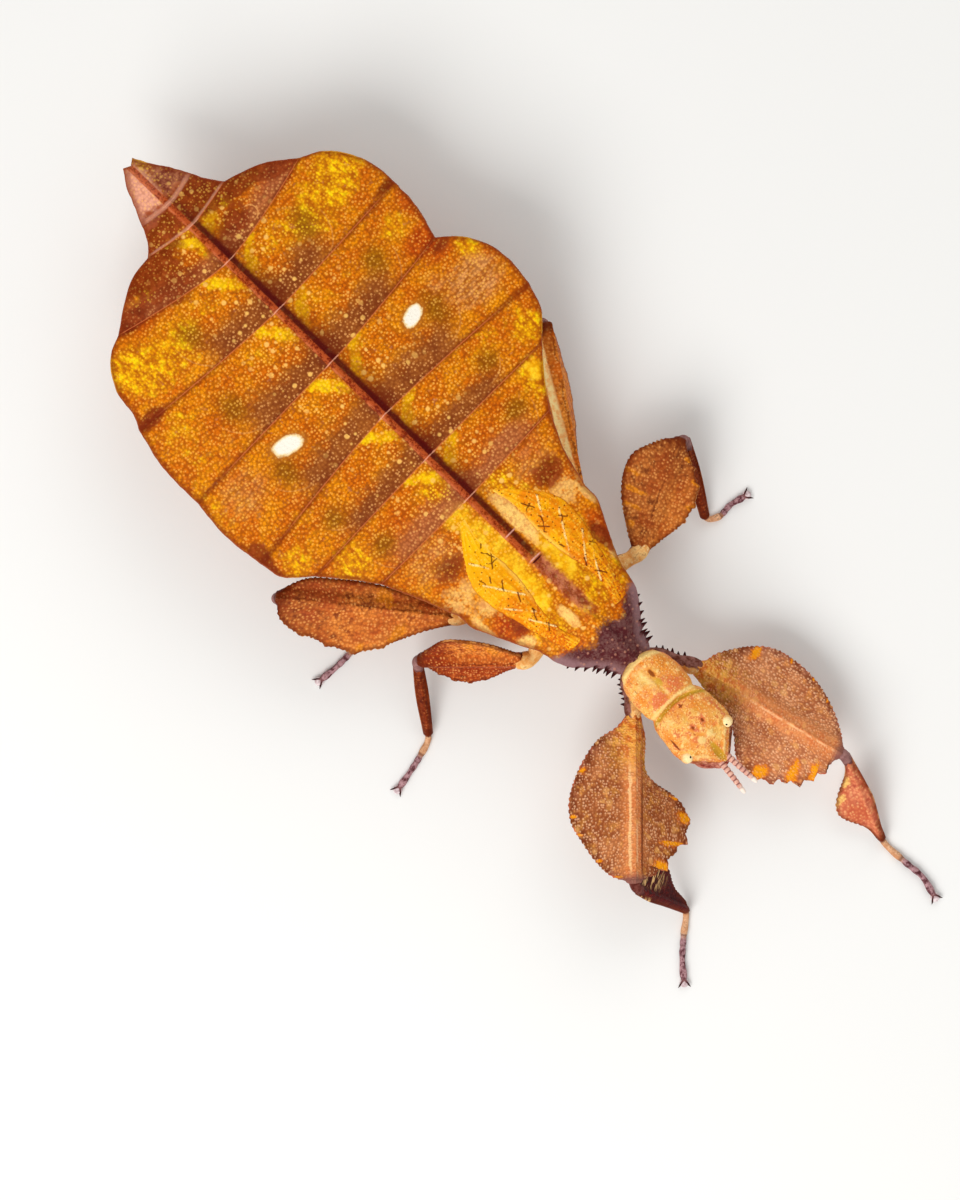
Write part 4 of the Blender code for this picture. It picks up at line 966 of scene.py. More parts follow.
    # Brown net with pale specks, small and large
    distance, luck = f.cells(0.33, 5)
    plain = brown * 0.4 + wedge * 0.25 + yellow * 0.3 + pale * 0.4
    net = f.fade(0.08, 0.22, distance + fine * 0.16 + mid * 0.06)
    f.paint(net * (0.46 - plain * 0.6 - gold * 0.16).larger(0.0), (104, 44, 6))
    small = f.fade(0.05, -0.03, distance - (luck * 0.16 - 0.045) + mid * 0.16)
    large = f.specks(0.95, -0.3, 0.27, 8, soft=0.09)
    speck = f.mix(gold, f.mix(band * 0.8, settings.speck, (214, 146, 92)), (254, 206, 44))
    often = 0.4 + f.fade(10, 2, away) * 0.2 + band * 0.1 - plain * 0.6 - f.fade(55, 56, along) * 0.2
    f.paint(small * often.larger(0.0), speck)
    f.paint(large * f.fade(9, 3, away) * (0.8 - plain).larger(0.0), (248, 192, 100))

    # Midline: painted shadow, groove, ridge, pale thread, and the broad front part with lines across
    shadow = f.fade(2.4, 0.3, abs(side - 0.6) + mid * 1.2) * f.fade(52, 46, along) * f.fade(5, 10, along)
    f.paint(shadow * (f.fade(0.1, 0.8, part) * 0.4 + 0.34), (98, 36, 8))
    # Painted shadow: the dark groove line on the ridge's left, partly the back's own dark colour
    groove = f.fade(0.66, 0.14, abs(side - 0.4 + mid * 0.4)) * f.fade(5, 10, along) * f.fade(57, 55, along)
    f.paint(groove * 0.92, (82, 16, 6))
    ridge = f.fade(0.42, 0.26, abs(side + 0.2 + mid * 0.2)) * f.fade(57, 55, along)
    f.paint(ridge * 0.88, (116, 38, 16), (176, 80, 42), f.fade(-0.16, 0.1, mid + fine))
    thread = f.fade(0.16, 0.04, abs(side + 0.42 + mid * 0.2)) * f.fade(57, 55, along)
    thread = thread * f.fade(-0.1, 0.14, mid + wide)
    f.paint(thread * 0.55, (206, 118, 76))
    broad = f.fade(55.4, 56.8, along) * f.fade(65, 62, along + mid * 3)
    broad = broad * f.fade(1.1, 0.35, abs(side - 0.3) + mid * 0.9)
    f.paint(broad * 0.8, (126, 52, 38), (196, 116, 88), f.fade(-0.12, 0.14, mid + fine * 0.5))
    across = f.fade(0.9, 0.4, abs(side - 0.2) + mid * 0.5)
    f.paint(f.fade(0.12, 0.04, abs(along - 56.4 + mid * 0.2)) * across, (74, 24, 18))
    stripe = f.fade(0.11, 0.04, abs(along - 56.15 + mid * 0.2)).larger(f.fade(0.1, 0.04, abs(along - 52.7)))
    f.paint(stripe * across * 0.75, (232, 168, 150))

    # Lines between the segments, and the rim
    # The dark band at each line is painted shade in its groove, and partly the line's own dark colour
    joint = f.fade(0.5, 0.05, line + mid * 0.3) * f.fade(0.5, 12.0, away)
    f.paint(joint * 0.65, (104, 36, 14))
    seam = f.fade(0.09, 0.02, line + fine * 0.14) * f.fade(17, 12, away)
    f.paint(seam * 0.7, (196, 104, 60), (232, 160, 130), f.fade(1.2, 0.6, away))
    collar = f.fade(0.34, 0.12, line + mid * 0.2) * f.fade(2.0, 1.98, phase)
    f.paint(collar * 0.6, (200, 138, 112))
    edge = f.fade(0.7, 0.1, rim + mid * 0.9)
    f.paint(edge * 0.65, (118, 46, 16))
    hem = f.fade(0.1, 0.03, rim)
    f.paint(hem * 0.7, (140, 70, 50), (222, 160, 50), gold)
    hoop = f.fade(0.1, 0.04, abs(((along - 12.0) ** 2 + (side - 4.9) ** 2) ** 0.5 - 0.8 + mid * 0.3))
    f.paint(hoop * f.fade(-0.2, 0.3, side - 4.9) * 0.7, (220, 150, 84))

    # Plain belly, and the two eyespots above
    below = f.kept("under")
    above = 1 - below
    belly = f.mix(f.fade(-0.16, 0.2, wide + mid * 0.5), (190, 98, 34), (218, 136, 58))
    f.paint(below * (0.62 - joint * 0.4).larger(0.0), belly)
    for along_eye, side_eye, tall, spread, slant in EYESPOTS:
        off = side - side_eye
        distance = (abs(along - along_eye - off * slant + mid * 0.5 + fine * 0.2) * (1 / tall)) ** 2.4
        distance = distance + (abs(off + fine * 0.4 - mid * 0.8) * (1 / spread)) ** 2.4
        f.paint(f.fade(3.4, 1.0, distance) * above * 0.75, (168, 98, 36))
        white = f.mix(f.fade(0.45, 1.0, distance), (238, 230, 214), (236, 208, 150))
        f.paint(f.fade(1.4, 0.8, distance) * above, white)

    # Dark middle thorax with pale warts
    bound = along - f.fade(1.4, 0.2, abs(away - 1.9)) * 0.9 + (away - 2.5).larger(0.0) * 0.28
    dark = f.fade(64.9, 66.0, bound + mid * 1.6 + fine * 0.9)
    plum = f.mix(f.fade(-0.14, 0.2, mid + fine), settings.thorax, (108, 72, 68))
    plum = f.mix(f.fade(1.4, 0.3, rim + mid) * 0.7, plum, (150, 114, 116))
    f.paint(dark, plum)
    f.paint(f.fade(0.45, 0.9, f.kept("wart") + mid * 0.6) * dark * 0.55, (186, 128, 106))
    f.paint(below * 0.45, (184, 108, 44))
    height = small * 0.3 + fine * 0.9 + mid * 0.8 + large * 0.4 - net * 0.25
    return f.done(height, 0.05, 0.46 + mid * 0.3 + small * 0.08)


class BuildTrunk(Operator):
    """Skin of the abdomen, rear thorax and middle thorax."""

    bl_idname = "leaf.trunk"
    bl_label = "Trunk"

    def execute(self, context):
        """Build the skin that takes the place of three solids."""
        settings = context.scene.leaf_trunk
        make_piece("trunk_skin", [trunk_surface(settings)], [trunk_finish(settings)],
                   ("abdomen", "metathorax", "mesothorax"))
        return {"FINISHED"}


class PadSettings(PropertyGroup):
    """Sizes and colours of the wing pads."""

    ridge: length("Ridge", 0.36, "Height of the ridge of the back that the pads follow")
    vein: length("Vein", 0.13, "Height of the lengthwise veins")
    ground: colour("Ground", (224, 128, 10), "Golden ground")
    light: colour("Light", (246, 184, 50), "Light veins and inner edge")
    mark: colour("Mark", (96, 40, 10), "Dark dots and star-shaped marks")


def pad_surface(settings, sign, thorax, margin):
    """A wing pad over the skin of the back, rows from tip to root and columns from inner to outer edge.

    Its top lies above the back by 0.1 + 0.22 sin(pi share) sin(pi part), with round ridges for the veins.
    """
    length_way = np.linspace(PAD_INNER[0][0], PAD_INNER[-1][0], PAD_ROWS)
    even = np.linspace(0, 1, PAD_COLUMNS)
    share = even - 0.05 * np.sin(2 * math.pi * even)
    inner, outer = read(PAD_INNER, length_way)[:, None], read(PAD_OUTER, length_way)[:, None]
    side = inner + (outer - inner) * share
    along = per_ring(length_way, PAD_COLUMNS)
    outline = (SEGMENTS[-2][margin][-1],) + SEGMENTS[-1][margin] + thorax[1:]
    half = np.abs(read(outline, length_way))[:, None]
    back = back_height(along, side / half) + SOLID_SKIN / 2 + settings.ridge / MM * bell(side, 0.5)
    width = outer - inner
    part = (along - along[0, 0]) / (along[-1, 0] - along[0, 0])
    vein = np.full(along.shape, FAR)
    for tail, root in PAD_VEINS:
        vein = np.minimum(vein, np.abs(share - (tail + (root - tail) * part)) * width)
    net = np.abs(drift(along, side, 0.9, 21)) * 0.9
    edge = np.minimum(share, 1 - share) * width
    shaky = 0.1 * drift(along, side, 0.35, 25)
    line = stroke_distance(PAD_LINES, along + shaky, side - shaky)
    stroke = stroke_distance(PAD_STROKES[sign], along + shaky, side + shaky)
    arch = 0.22 * np.sin(math.pi * share) * np.sin(math.pi * np.clip(part, 0.04, 0.96))
    ridges = settings.vein / MM * (0.6 * bell(vein, 0.16) * step(0, 0.12, part) + 0.6 * bell(line, 0.1))
    top = back + 0.1 + arch + ridges + 0.04 * bell(net, 0.07)
    top = top - 0.07 * bell(edge, 0.2) - 0.04 * bell(stroke, 0.1)
    ripple = 0.06 * drift(along, side, 0.55, 23) * (bell(share - 1, 0.03) + bell(share, 0.03))
    above, below = (np.dstack((along, sign * (side + ripple), height)) for height in (top, back - 0.15))
    fields = {"vein": vein, "net": net, "rim": edge, "part": part, "line": line,
              "stroke": bell(stroke, 0.09), "inner": share * width}
    fields = {name: wrapped_field(field, field) for name, field in fields.items()}
    return round_surface(wrapped(above, below, 0.03), 0.2, fields)


def pad_finish(settings):
    """Golden wing pad with light veins, fine brown dots and dark star-shaped marks."""
    f = Finish("wing_pads", 0.45)
    side = f.axis("X")
    vein, net, rim, part, line, stroke, inner = map(f.kept, ("vein", "net", "rim", "part", "line",
                                                             "stroke", "inner"))
    wide, mid, fine = f.noises((2.2, 8), (0.8, 4, 4), (0.2, 6, 3))
    f.ground(settings.ground, (240, 166, 16), f.fade(-0.14, 0.16, mid + wide))
    f.paint(f.fade(0.04, 0.2, fine + mid * 0.5) * 0.6, (186, 92, 10))
    f.paint(f.fade(0.4, -0.4, side) * f.fade(0.6, 0.2, part) * 0.5, (250, 192, 24))
    front = f.fade(0.42, 0.9, part + mid * 0.5)
    f.paint(front * f.fade(-0.1, 0.12, mid + fine) * 0.85, (190, 78, 22))
    f.paint(f.specks(0.34, -0.06, 0.11, 5) * 0.45, (255, 208, 80))
    f.paint(f.fade(0.14, 0.04, net) * 0.3, settings.light)
    f.paint(f.fade(0.12, 0.04, vein + fine * 0.1) * f.fade(0.0, 0.16, mid + wide) * 0.6, settings.light)
    f.paint(f.fade(0.13, 0.05, line) * f.fade(-0.14, 0.1, mid) * 0.9, (253, 214, 140))
    f.paint(f.fade(0.5, 0.1, inner + mid * 0.4) * f.fade(0.7, 0.5, part) * 0.6, (250, 204, 90))
    dots = f.specks(0.5, -0.12, 0.09, 3, soft=0.04)
    f.paint(dots * 0.8, settings.mark)
    dashes = f.fade(0.3, 0.1, line) * f.fade(0.08, 0.2, fine + mid * 0.5)
    f.paint((stroke * 1.3 + fine * 0.8 - 0.25).larger(dashes * 0.8).larger(0.0).lesser(0.9), settings.mark)
    f.paint(f.fade(0.12, 0.03, rim) * 0.5, (176, 92, 22))
    return f.done(fine + mid - dots * 0.4, 0.05)


class BuildPads(Operator):
    """The two wing pads."""

    bl_idname = "leaf.pads"
    bl_label = "Wing pads"

    def execute(self, context):
        """Build a skin for each wing pad."""
        settings = context.scene.leaf_pads
        finish = pad_finish(settings)
        for name, sign, thorax, margin in (("left", 1, META_LEFT, 1), ("right", -1, META_RIGHT, 2)):
            make_piece(f"wing_pad_{name}_skin", [pad_surface(settings, sign, thorax, margin)], [finish],
                       (f"wing_pad_{name}",))
        return {"FINISHED"}


class HeadSettings(PropertyGroup):
    """Sizes and colours of the head, front thorax, eyes, mouthparts and antennae."""

    granule: length("Granule", 0.08, "Height of the granules on head and front thorax")
    antenna: length("Antenna", 0.34, "Radius of an antenna at its root")
    ground: colour("Ground", (228, 142, 64), "Yellow-orange of head and front thorax")
    granules: colour("Granules", (255, 214, 140), "Pale granules")
    red: colour("Red", (206, 98, 48), "Red mottling and cheeks")
    olive: colour("Olive", (188, 146, 42), "Olive groove and brow")
    eye: colour("Eye", (250, 226, 168), "Cream of the eyes")
    feeler: colour("Feeler", (204, 142, 126), "Pink of the antennae")


def axis_point(distance, side):
    """Along and side of places at a distance along the head's axis and to its side."""
    forward = np.array((math.cos(AXIS_TURN), math.sin(AXIS_TURN)))
    across = np.array((-forward[1], forward[0]))
    distance, side = np.broadcast_arrays(distance, side)
    return np.asarray(AXIS_START) + distance[..., None] * forward + side[..., None] * across


def on_axis(distance, side, height):
    """The place at a distance along the head's axis, to its side and above the floor."""
    return np.append(axis_point(np.float64(distance), np.float64(side)), height)


def axis_rings(table, rows, sides):
    """Rings of rounded square section across the head's axis, and side and upward share of each point.

    Half width times cos^(2/2.4) of the turn to the side, half height times sin^(2/2.4) upwards.
    """
    distances = np.linspace(table[0][0], table[-1][0], rows)
    half, top, bottom = smooth_table(table, distances).T[:, :, None]
    turn = full_turn(sides)
    across = np.sign(np.cos(turn)) * np.abs(np.cos(turn)) ** (2 / SQUARENESS)
    upward = np.sign(np.sin(turn)) * np.abs(np.sin(turn)) ** (2 / SQUARENESS)
    distance = per_ring(distances, sides)
    height = (top + bottom) / 2 + (top - bottom) / 2 * upward
    return distance, half * across, height, upward + 0 * half


def front_surface(settings):
    """Front thorax, neck groove and head as one skin with granules, eye rims, brows and a middle groove.

    Rings of rounded square section, moved up or down by bells of the distance from groove, rim or grain.
    """
    distance, side, height, upward = axis_rings(FRONT_RINGS, 230, 220)
    above = step(0.0, 0.5, upward)
    fields = patches(FRONT_MARKS, distance, side)
    bend = np.where(side > 0, 0.12, 0.06) * side ** 2
    for name, field in (("olive", 0.95 * bell(distance - 5.78 - bend, 0.22)),
                        ("pale", 0.9 * bell(distance - 5.38 - 0.6 * bend, 0.22)),
                        ("pale", bell(distance - 0.2 - 0.12 * side ** 2, 0.38))):
        fields[name] = np.maximum(fields[name], field * above)
    near, luck = grains(distance, side, 0.28, 31)
    bump = step(0.12, 0.04, near) * (0.3 + 0.7 * luck) * above
    big, big_luck = grains(distance, side, 1.5, 37)
    bump = np.maximum(bump, step(0.24, 0.08, big) * (big_luck > 0.45) * above)
    relief = settings.granule / MM * bump
    relief -= 0.16 * bell(side - 0.12, 0.16) * bell(distance - 3.2, 1.7)
    relief -= 0.22 * bell(distance - 5.8 - bend, 0.16) * above
    relief += 0.1 * bell(distance - 5.38 - 0.6 * bend, 0.22) * above
    for sign in (1, -1):
        brow = (distance - 10.9) - (2.25 - np.abs(side)) * 1.05
        ridge = bell(brow, 0.3) * step(0.1, 0.5, np.abs(side)) * step(2.5, 2.0, np.abs(side))
        ridge = ridge * (side * sign > 0)
        relief += 0.15 * ridge * above
        fields["pale"] = np.maximum(fields["pale"], 0.62 * ridge * above)
        socket = np.hypot(distance - EYE_PLACE[0], side - sign * EYE_PLACE[1])
        relief += 0.1 * bell(socket - 0.8, 0.18) * above
        relief -= 0.12 * bell(socket, 0.7) * above
        relief += 0.12 * bell(np.hypot(distance - 10.35, side - 0.14 - sign * 0.56), 0.3) * above
    relief -= 0.22 * bell(side, 0.35) * bell(distance - 12.3, 0.9) * above
    relief += 0.1 * drift(distance, side, 1.7, 41) * above
    relief += 0.05 * drift(distance, side, 0.7, 43)
    neck = bell(distance - 5.82, 0.3)
    flank = 0.03 * drift(distance, height, 0.5, 47) * (1 - above)
    rings = np.dstack((axis_point(distance, side * (1 + flank - 0.02 * neck)), height + relief))
    fields.update(granule=bump, reach=distance, side=side, upward=upward)
    return round_surface(rings, 0.3, fields)


def front_finish(settings):
    """Yellow-orange with pale granules, red mottling, olive groove and brow, and reddish cheeks."""
    f = Finish("head_and_front_thorax", 0.48)
    wide, mid, fine = f.noises((1.6, 2), (0.55, 5, 4), (0.17, 8, 3))
    upward, reach, side = f.kept("upward"), f.kept("reach"), f.kept("side")
    f.ground(settings.ground, (246, 190, 108), f.fade(-0.14, 0.12, mid + wide * 0.5))
    f.paint(f.fade(-0.02, 0.14, fine + mid * 0.7) * 0.7, (204, 100, 50))
    f.paint(f.fade(0.05, 0.2, wide - mid * 0.5) * 0.5, (226, 176, 84))
    f.paint(f.fade(0.0, 0.14, mid * 0.9 - wide * 0.6 + fine * 0.4) * 0.65, (212, 108, 70))
    distance, luck = f.cells(0.4, 6, "3D")
    freckle = f.fade(0.06, -0.04, distance - (luck * 0.26 - 0.1) + fine * 0.1)
    freckle = freckle * f.fade(-0.06, 0.08, wide - mid * 0.5)
    f.paint(freckle * 0.6, (198, 88, 42))
    orange = f.fade(0.25, 0.8, f.kept("orange") + mid * 1.3)
    f.paint(orange * 0.75, (208, 104, 32), (244, 160, 60), f.fade(-0.1, 0.14, fine + mid * 0.4))
    red = f.fade(0.3, 0.8, f.kept("red") + mid * 1.6 + fine * 0.8)
    f.paint(red * 0.9, settings.red, (224, 126, 86), f.fade(-0.1, 0.14, fine + mid * 0.4))
    f.paint(f.fade(0.12, 0.7, f.kept("olive") + mid * 0.5) * 0.8, settings.olive)
    f.paint(f.fade(0.2, 0.85, f.kept("pale") + mid * 1.3 + fine * 0.6) * 0.75, (244, 212, 134))
    f.paint(f.fade(0.3, 0.8, f.kept("granule")) * 0.6, settings.granules)
    f.paint(f.fade(0.3, 0.8, f.kept("brown") + mid * 0.7 + fine * 0.4) * 0.85, (116, 48, 20))
    cheek = f.fade(0.0, 0.24, abs(side) - (13.3 - reach) * 0.95 - 0.5 + mid * 0.4)
    cheek = cheek * f.fade(11.1, 11.5, reach)
    cheek = cheek.larger(f.fade(0.25, -0.35, upward + mid * 0.8) * f.fade(5.6, 6.4, reach))
    # Painted shade: the left half of cheeks and underside is darker, the side away from the light
    cheek_shaded_left = f.mix(f.fade(-0.5, 0.5, side), (138, 56, 38), (86, 34, 36))
    cheeks = f.mix(f.fade(-0.02, 0.18, mid + fine * 0.4), cheek_shaded_left, (206, 132, 108))
    f.paint(cheek * 0.9, cheeks)
    flank = f.fade(0.1, -0.5, upward + mid * 0.8) * f.fade(6.4, 5.6, reach)
    f.paint(flank * 0.8, (150, 62, 38), (212, 126, 84), f.fade(-0.14, 0.18, mid))
    collar = f.fade(0.5, 0.0, reach) * f.fade(0.1, -0.3, upward)
    f.paint(collar, (100, 46, 42))
    return f.done(fine + mid * 0.9, 0.07)


def ball_surface(centre, radius, lean, rows=26, sides=40, flat=1.0):
    """A ball as rings round an axis that leans: radius times cosine and sine of latitude and turn."""
    turn = full_turn(sides)
    rise = np.linspace(-math.pi / 2, math.pi / 2, rows + 2)[1:-1]
    axis = unit(lean)
    across = unit(np.cross(axis, (0.0, 1.0, 0.001)))
    other = np.cross(axis, across)
    ring = np.cos(turn)[:, None] * across + np.sin(turn)[:, None] * other
    points = np.asarray(centre) + radius * (np.cos(rise)[:, None, None] * ring[None]
                                            + flat * np.sin(rise)[:, None, None] * axis)
    return Surface(points, {"away": per_ring(math.pi / 2 - rise, sides)})


def eye_finish(settings):
    """Cream eye with a fine honeycomb of dots and one small black spot."""
    f = Finish("eyes", 0.2)
    away = f.kept("away")
    fine = f.noise(0.2, 3, 2)
    f.ground(settings.eye, (236, 178, 110), f.fade(0.7, 1.7, away + fine))
    distance = f.cells(0.11, 2, "3D")[0]
    f.paint(f.fade(0.045, 0.02, distance) * 0.45, (168, 110, 60))
    f.paint(f.fade(0.22, 0.13, away + fine * 0.1), (24, 14, 10))
    return f.done(distance * 8, 0.01)


def mouth_surfaces():
    """Lower face: a rounded block, two jaws in front of it and two pairs of feelers beside it."""
    distance, side, height, upward = axis_rings(MOUTH, 30, 48)
    crease = 0.12 * bell(side, 0.12) + 0.07 * bell(np.abs(side) - 0.9, 0.1)
    rings = np.dstack((axis_point(distance, side + MOUTH_SHIFT), height + crease * (1 - 2 * (upward > 0))))
    surfaces = [round_surface(rings, 0.3, {})]
    for sign in (1, -1):
        for points, radius, knots in FEELERS:
            path = [on_axis(reach, MOUTH_SHIFT * 0.5 + sign * spread, rise)
                    for reach, spread, rise in points]
            surfaces.append(tube_surface(path, 28, 16, radius, 0.45, knots, 0.14))
    return surfaces


def tube_surface(path, rows, sides, radius, taper, knots, waist, finish=0):
    """A tube along a path, thinner to its end and at its joints, with round ends.

    Radius = root radius x (1 - taper x share^2) x (1 - waist x |cos(pi x knots x share)|^8).
    """
    share = np.linspace(0, 1, rows)
    joint = np.abs(np.cos(math.pi * knots * share))
    radii = radius * (1 - taper * share ** 2) * (1 - waist * joint ** 8)
    fields = {"joint": per_ring(joint, sides), "part": per_ring(share, sides)}
    return round_surface(tube_rings(path, share, radii, sides), radius * 0.6, fields, finish)


def feeler_finish(name, ground, light, ring, end):
    """Ringed finish for a tube: ground colour, rings at its joints and an end colour."""
    f = Finish(name, 0.45)
    mid, fine = f.noises((0.5, 5, 3), (0.16, 2, 2))
    f.ground(ground, light, f.fade(-0.2, 0.25, mid))
    f.paint(f.fade(0.82, 0.97, f.kept("joint")) * 0.85, ring)
    f.paint(f.fade(0.05, 0.25, fine) * 0.4, ring)
    f.paint(f.fade(0.78, 0.94, f.kept("part") + mid * 0.15), end)
    return f.done(fine + mid, 0.04)


class BuildHead(Operator):
    """Head and front thorax in one skin."""

    bl_idname = "leaf.head"
    bl_label = "Head and front thorax"

    def execute(self, context):
        """Build the skin that takes the place of both solids."""
        settings = context.scene.leaf_head
        make_piece("front_skin", [front_surface(settings)], [front_finish(settings)],
                   ("prothorax", "head"))
        return {"FINISHED"}


class BuildFace(Operator):
    """Eyes, mouthparts and antennae."""

    bl_idname = "leaf.face"
    bl_label = "Eyes, mouthparts and antennae"

    def execute(self, context):
        """Build the small pieces of the head."""
        settings = context.scene.leaf_head
        eye = eye_finish(settings)
        mouth = feeler_finish("mouth", (128, 48, 40), (208, 138, 116), (92, 34, 30), (132, 54, 42))
        feeler = feeler_finish("antennae", settings.feeler, (232, 184, 162), (130, 76, 72), (240, 222, 206))
        make_piece("mouthparts_skin", mouth_surfaces(), [mouth], ("mouthparts",))
        for name, sign in (("left", 1), ("right", -1)):
            distance, side, height = EYE_PLACE
            centre = on_axis(distance, sign * side, height)
            lean = (0.36, -sign * 0.42, 0.83)
            make_piece(f"eye_{name}_skin", [ball_surface(centre, EYE_RADIUS + 0.04, lean)], [eye],
                       (f"eye_{name}",))
            distance, side, height = ANTENNA_START
            path = [on_axis(distance, sign * side, height)]
            for reach, spread, rise in ANTENNA_REACH:
                path.append(on_axis(distance + reach, sign * (side + spread), height + rise))
            tube = tube_surface(path, 90, 24, settings.antenna / MM, 0.35, 8, 0.2)
            make_piece(f"antenna_{name}_skin", [tube], [feeler], (f"antenna_{name}",))
        return {"FINISHED"}


def thorn(root, tip, radius, bend=(0.0, 0.0, 0.0)):
    """A pointed spine: its radius falls as (1 - share)^0.8 along a curve with a shifted middle."""
    root, tip = arrays(root, tip)
    share = np.linspace(0, 1, 9)
    rings = tube_rings([root, (root + tip) / 2 + bend, tip], share, radius * (1 - share) ** 0.8 + 0.02, 10)
    return Surface(rings, {"part": per_ring(share, 10)})


def spine_finish():
    """Dark spine with a paler brown foot."""
    f = Finish("spines", 0.4)
    mid = f.noise(0.3, 5, 3)
    f.ground((134, 92, 92), (58, 28, 28), f.fade(0.15, 0.6, f.kept("part") + mid * 0.3))
    return f.done(mid, 0.02)


class BuildSpines(Operator):
    """Spines down both sides of the middle thorax and behind the fore legs' roots."""

    bl_idname = "leaf.spines"
    bl_label = "Spines"

    def execute(self, context):
        """Build all spines of the thorax as one piece."""
        surfaces = []
        for margin, sign in ((MESO_LEFT, 1), (MESO_RIGHT, -1)):
            for along, rise, size in MESO_SPINES:
                edge = float(read(margin, along))
                height = float(back_height(along, 1)) + rise
                root = (along, edge - sign * (0.35 + 0.6 * rise), height)
                tip = (along + 0.12 * size, edge + sign * 0.62 * size, height + 0.2 * size)
                surfaces.append(thorn(root, tip, 0.22 + 0.1 * size, (-0.05, 0.0, 0.05)))
        for name, sign in (("fore_left", 1), ("fore_right", -1)):
            base, tip = arrays(*LEGS[name][0])
            axis = unit(tip - base)
            outward = beside(axis, sign)
            for share, size in COXA_SPINES:
                root = base + (tip - base) * share + outward * 0.5
                tip_place = root + outward * (0.35 + 0.5 * size) - axis * 0.14
                surfaces.append(thorn(root, tip_place, 0.18 + 0.1 * size))
        make_piece("thorax_spines", surfaces, [spine_finish()])
        return {"FINISHED"}


class LegSettings(PropertyGroup):
    """Sizes and colours of the legs."""

    leaf: length("Leaf", 0.32, "Thickness of the leaf-like blades of the legs")
    femur_shaft: length("Femur shaft", 0.72, "Half thickness of a femur along its middle")
    tibia_shaft: length("Tibia shaft", 0.46, "Half thickness of a tibia along its middle")
    saw: length("Saw", 0.17, "Height of the fine saw teeth along the blades")
    fore: colour("Fore", (190, 114, 74), "Ground of the fore left femur between the granules")
    granule: colour("Granule", (250, 190, 146), "Pale orange granules of the fore femora")
    shaft: colour("Shaft", (234, 146, 86), "Orange band along the fore femora")
    dark: colour("Dark", (98, 40, 20), "Dark knees, edges and marks")
    patch: colour("Patch", (248, 158, 22), "Orange and yellow patches at the teeth")


def cusps(share, teeth, half=0.03):
    """Pointed teeth on an edge: height x (1 - |share - place| / half) inside each tooth's foot."""
    rise = np.zeros(share.shape)
    for place, height in teeth:
        rise = np.maximum(rise, height * np.clip(1 - np.abs(share - place) / half, 0, 1) ** 0.8)
    return rise


def blade_surface(ends, shape, tilts, shaft, settings, sign, finish, seed, space, patched, soft=1.0):
    """One leg piece: a thick shaft with a thin leaf on each side of it.

    A point at a distance d from the shaft's line lies towards the blade's edge by d, and above or below by
    thin + (thick - thin) x (1 - (d / (soft x thick))^(3 / soft)). thin is half the leaf, and falls to a
    third at the edge. thick is the shaft's half thickness, or 0.9 of the reach where that is less.
    """
    size, outer_table, inner_table, teeth = shape
    base, tip = arrays(*ends)
    axis = unit(tip - base)
    scale = np.linalg.norm(tip - base) / size
    level = beside(axis, sign)
    upward = np.cross(axis, level) * sign
    share = np.linspace(0, 1, int(size / space))
    spine = base + axis * (share * outer_table[-1][0] * scale)[:, None]
    thin = settings.leaf / MM / 2
    wings, normals = [], []
    for table, tilt, way, points in ((outer_table, tilts[0], 1, ()), (inner_table, tilts[1], -1, teeth)):
        edge = smooth_path(table, share)
        slope = np.gradient(edge, share, axis=0)
        outward = np.column_stack((-slope[:, 1], slope[:, 0])) / np.linalg.norm(slope, axis=1)[:, None]
        run = np.concatenate(([0.0], np.cumsum(np.linalg.norm(np.diff(edge, axis=0), axis=1))))
        beat = np.abs(np.mod(run / SAW_PITCH + 0.3 * np.sin(run * 1.3 + seed), 1.0) * 2 - 1)
        saw = settings.saw / MM * (1 - beat) * step(0.9, 1.6, edge[:, 1])
        edge = (edge + outward * (cusps(share, points) + saw)[:, None]) * (scale, 1.0)
        lean = math.radians(tilt)
        out = way * level * math.cos(lean) + upward * math.sin(lean)
        point = base + axis * edge[:, :1] + out * edge[:, 1:]
        reach = np.linalg.norm(point - spine, axis=1)[:, None]
        toward = (point - spine) / reach
        thick = np.minimum(shaft, 0.9 * reach)
        even = np.linspace(0, 1, max(7, int(edge[:, 1].max() / space / 1.15)))
        distance = reach * (even - 0.06 * np.sin(2 * math.pi * even))
        rim = reach - distance
        rise = thin + (thick - thin) * np.clip(1 - (distance / (soft * thick)) ** (3 / soft), 0, 1)
        rise = np.minimum(rise, thin * (0.33 + 0.67 * step(0, 0.7, rim)) + 2 * np.maximum(rim, 0))
        place = spine[:, None] + toward[:, None] * distance[..., None]
        along = per_ring(share * size, distance.shape[1])
        wave = 0.1 * drift(along, distance * way, 2.2, seed + 51) * step(0.8, 2.0, distance)
        flat = np.dstack((along, way * distance, np.full(distance.shape, float(seed))))
        wings.append([place, rise, wave, flat, rim, distance])
        normal = np.cross(axis, out)
        normals.append(normal * (np.sign(normal @ upward) or 1.0))
    wings[0] = [field[:, ::-1] for field in wings[0]]
    crest = unit(normals[0] + normals[1])
    for wing, normal in zip(wings, normals):
        blend = step(0.0, shaft, wing[-1])[..., None]
        wing.append(unit(crest * (1 - blend) + normal * blend))
    place, rise, wave, flat, rim, distance, facing = (np.concatenate((first, second[:, 1:]), axis=1)
                                                      for first, second in zip(*wings))
    keel = 0.1 * bell(distance, 0.12) - 0.05 * bell(distance - 0.4, 0.12)
    top = place + facing * (rise + wave + keel)[..., None]
    bottom = place - facing * (rise - wave)[..., None]
    every = 2 if bottom.shape[1] % 2 else 1
    part = per_ring(share, place.shape[1])
    patch = np.zeros(rim.shape)
    for way, spots in zip((1, -1), patched):
        for middle, reach, depth in spots:
            spot = bell(part - middle, reach) * bell(rim - depth / 2, depth * 0.7)
            patch = np.maximum(patch, spot * (flat[..., 1] * way > 0))
    fields = {"flat": flat, "rim": rim, "shaft": distance, "part": part, "patch": patch}
    fields = {name: wrapped_field(field, field[:, ::every]) for name, field in fields.items()}
    return round_surface(wrapped(top, bottom[:, ::every], 0.03), 0.35, fields, finish)


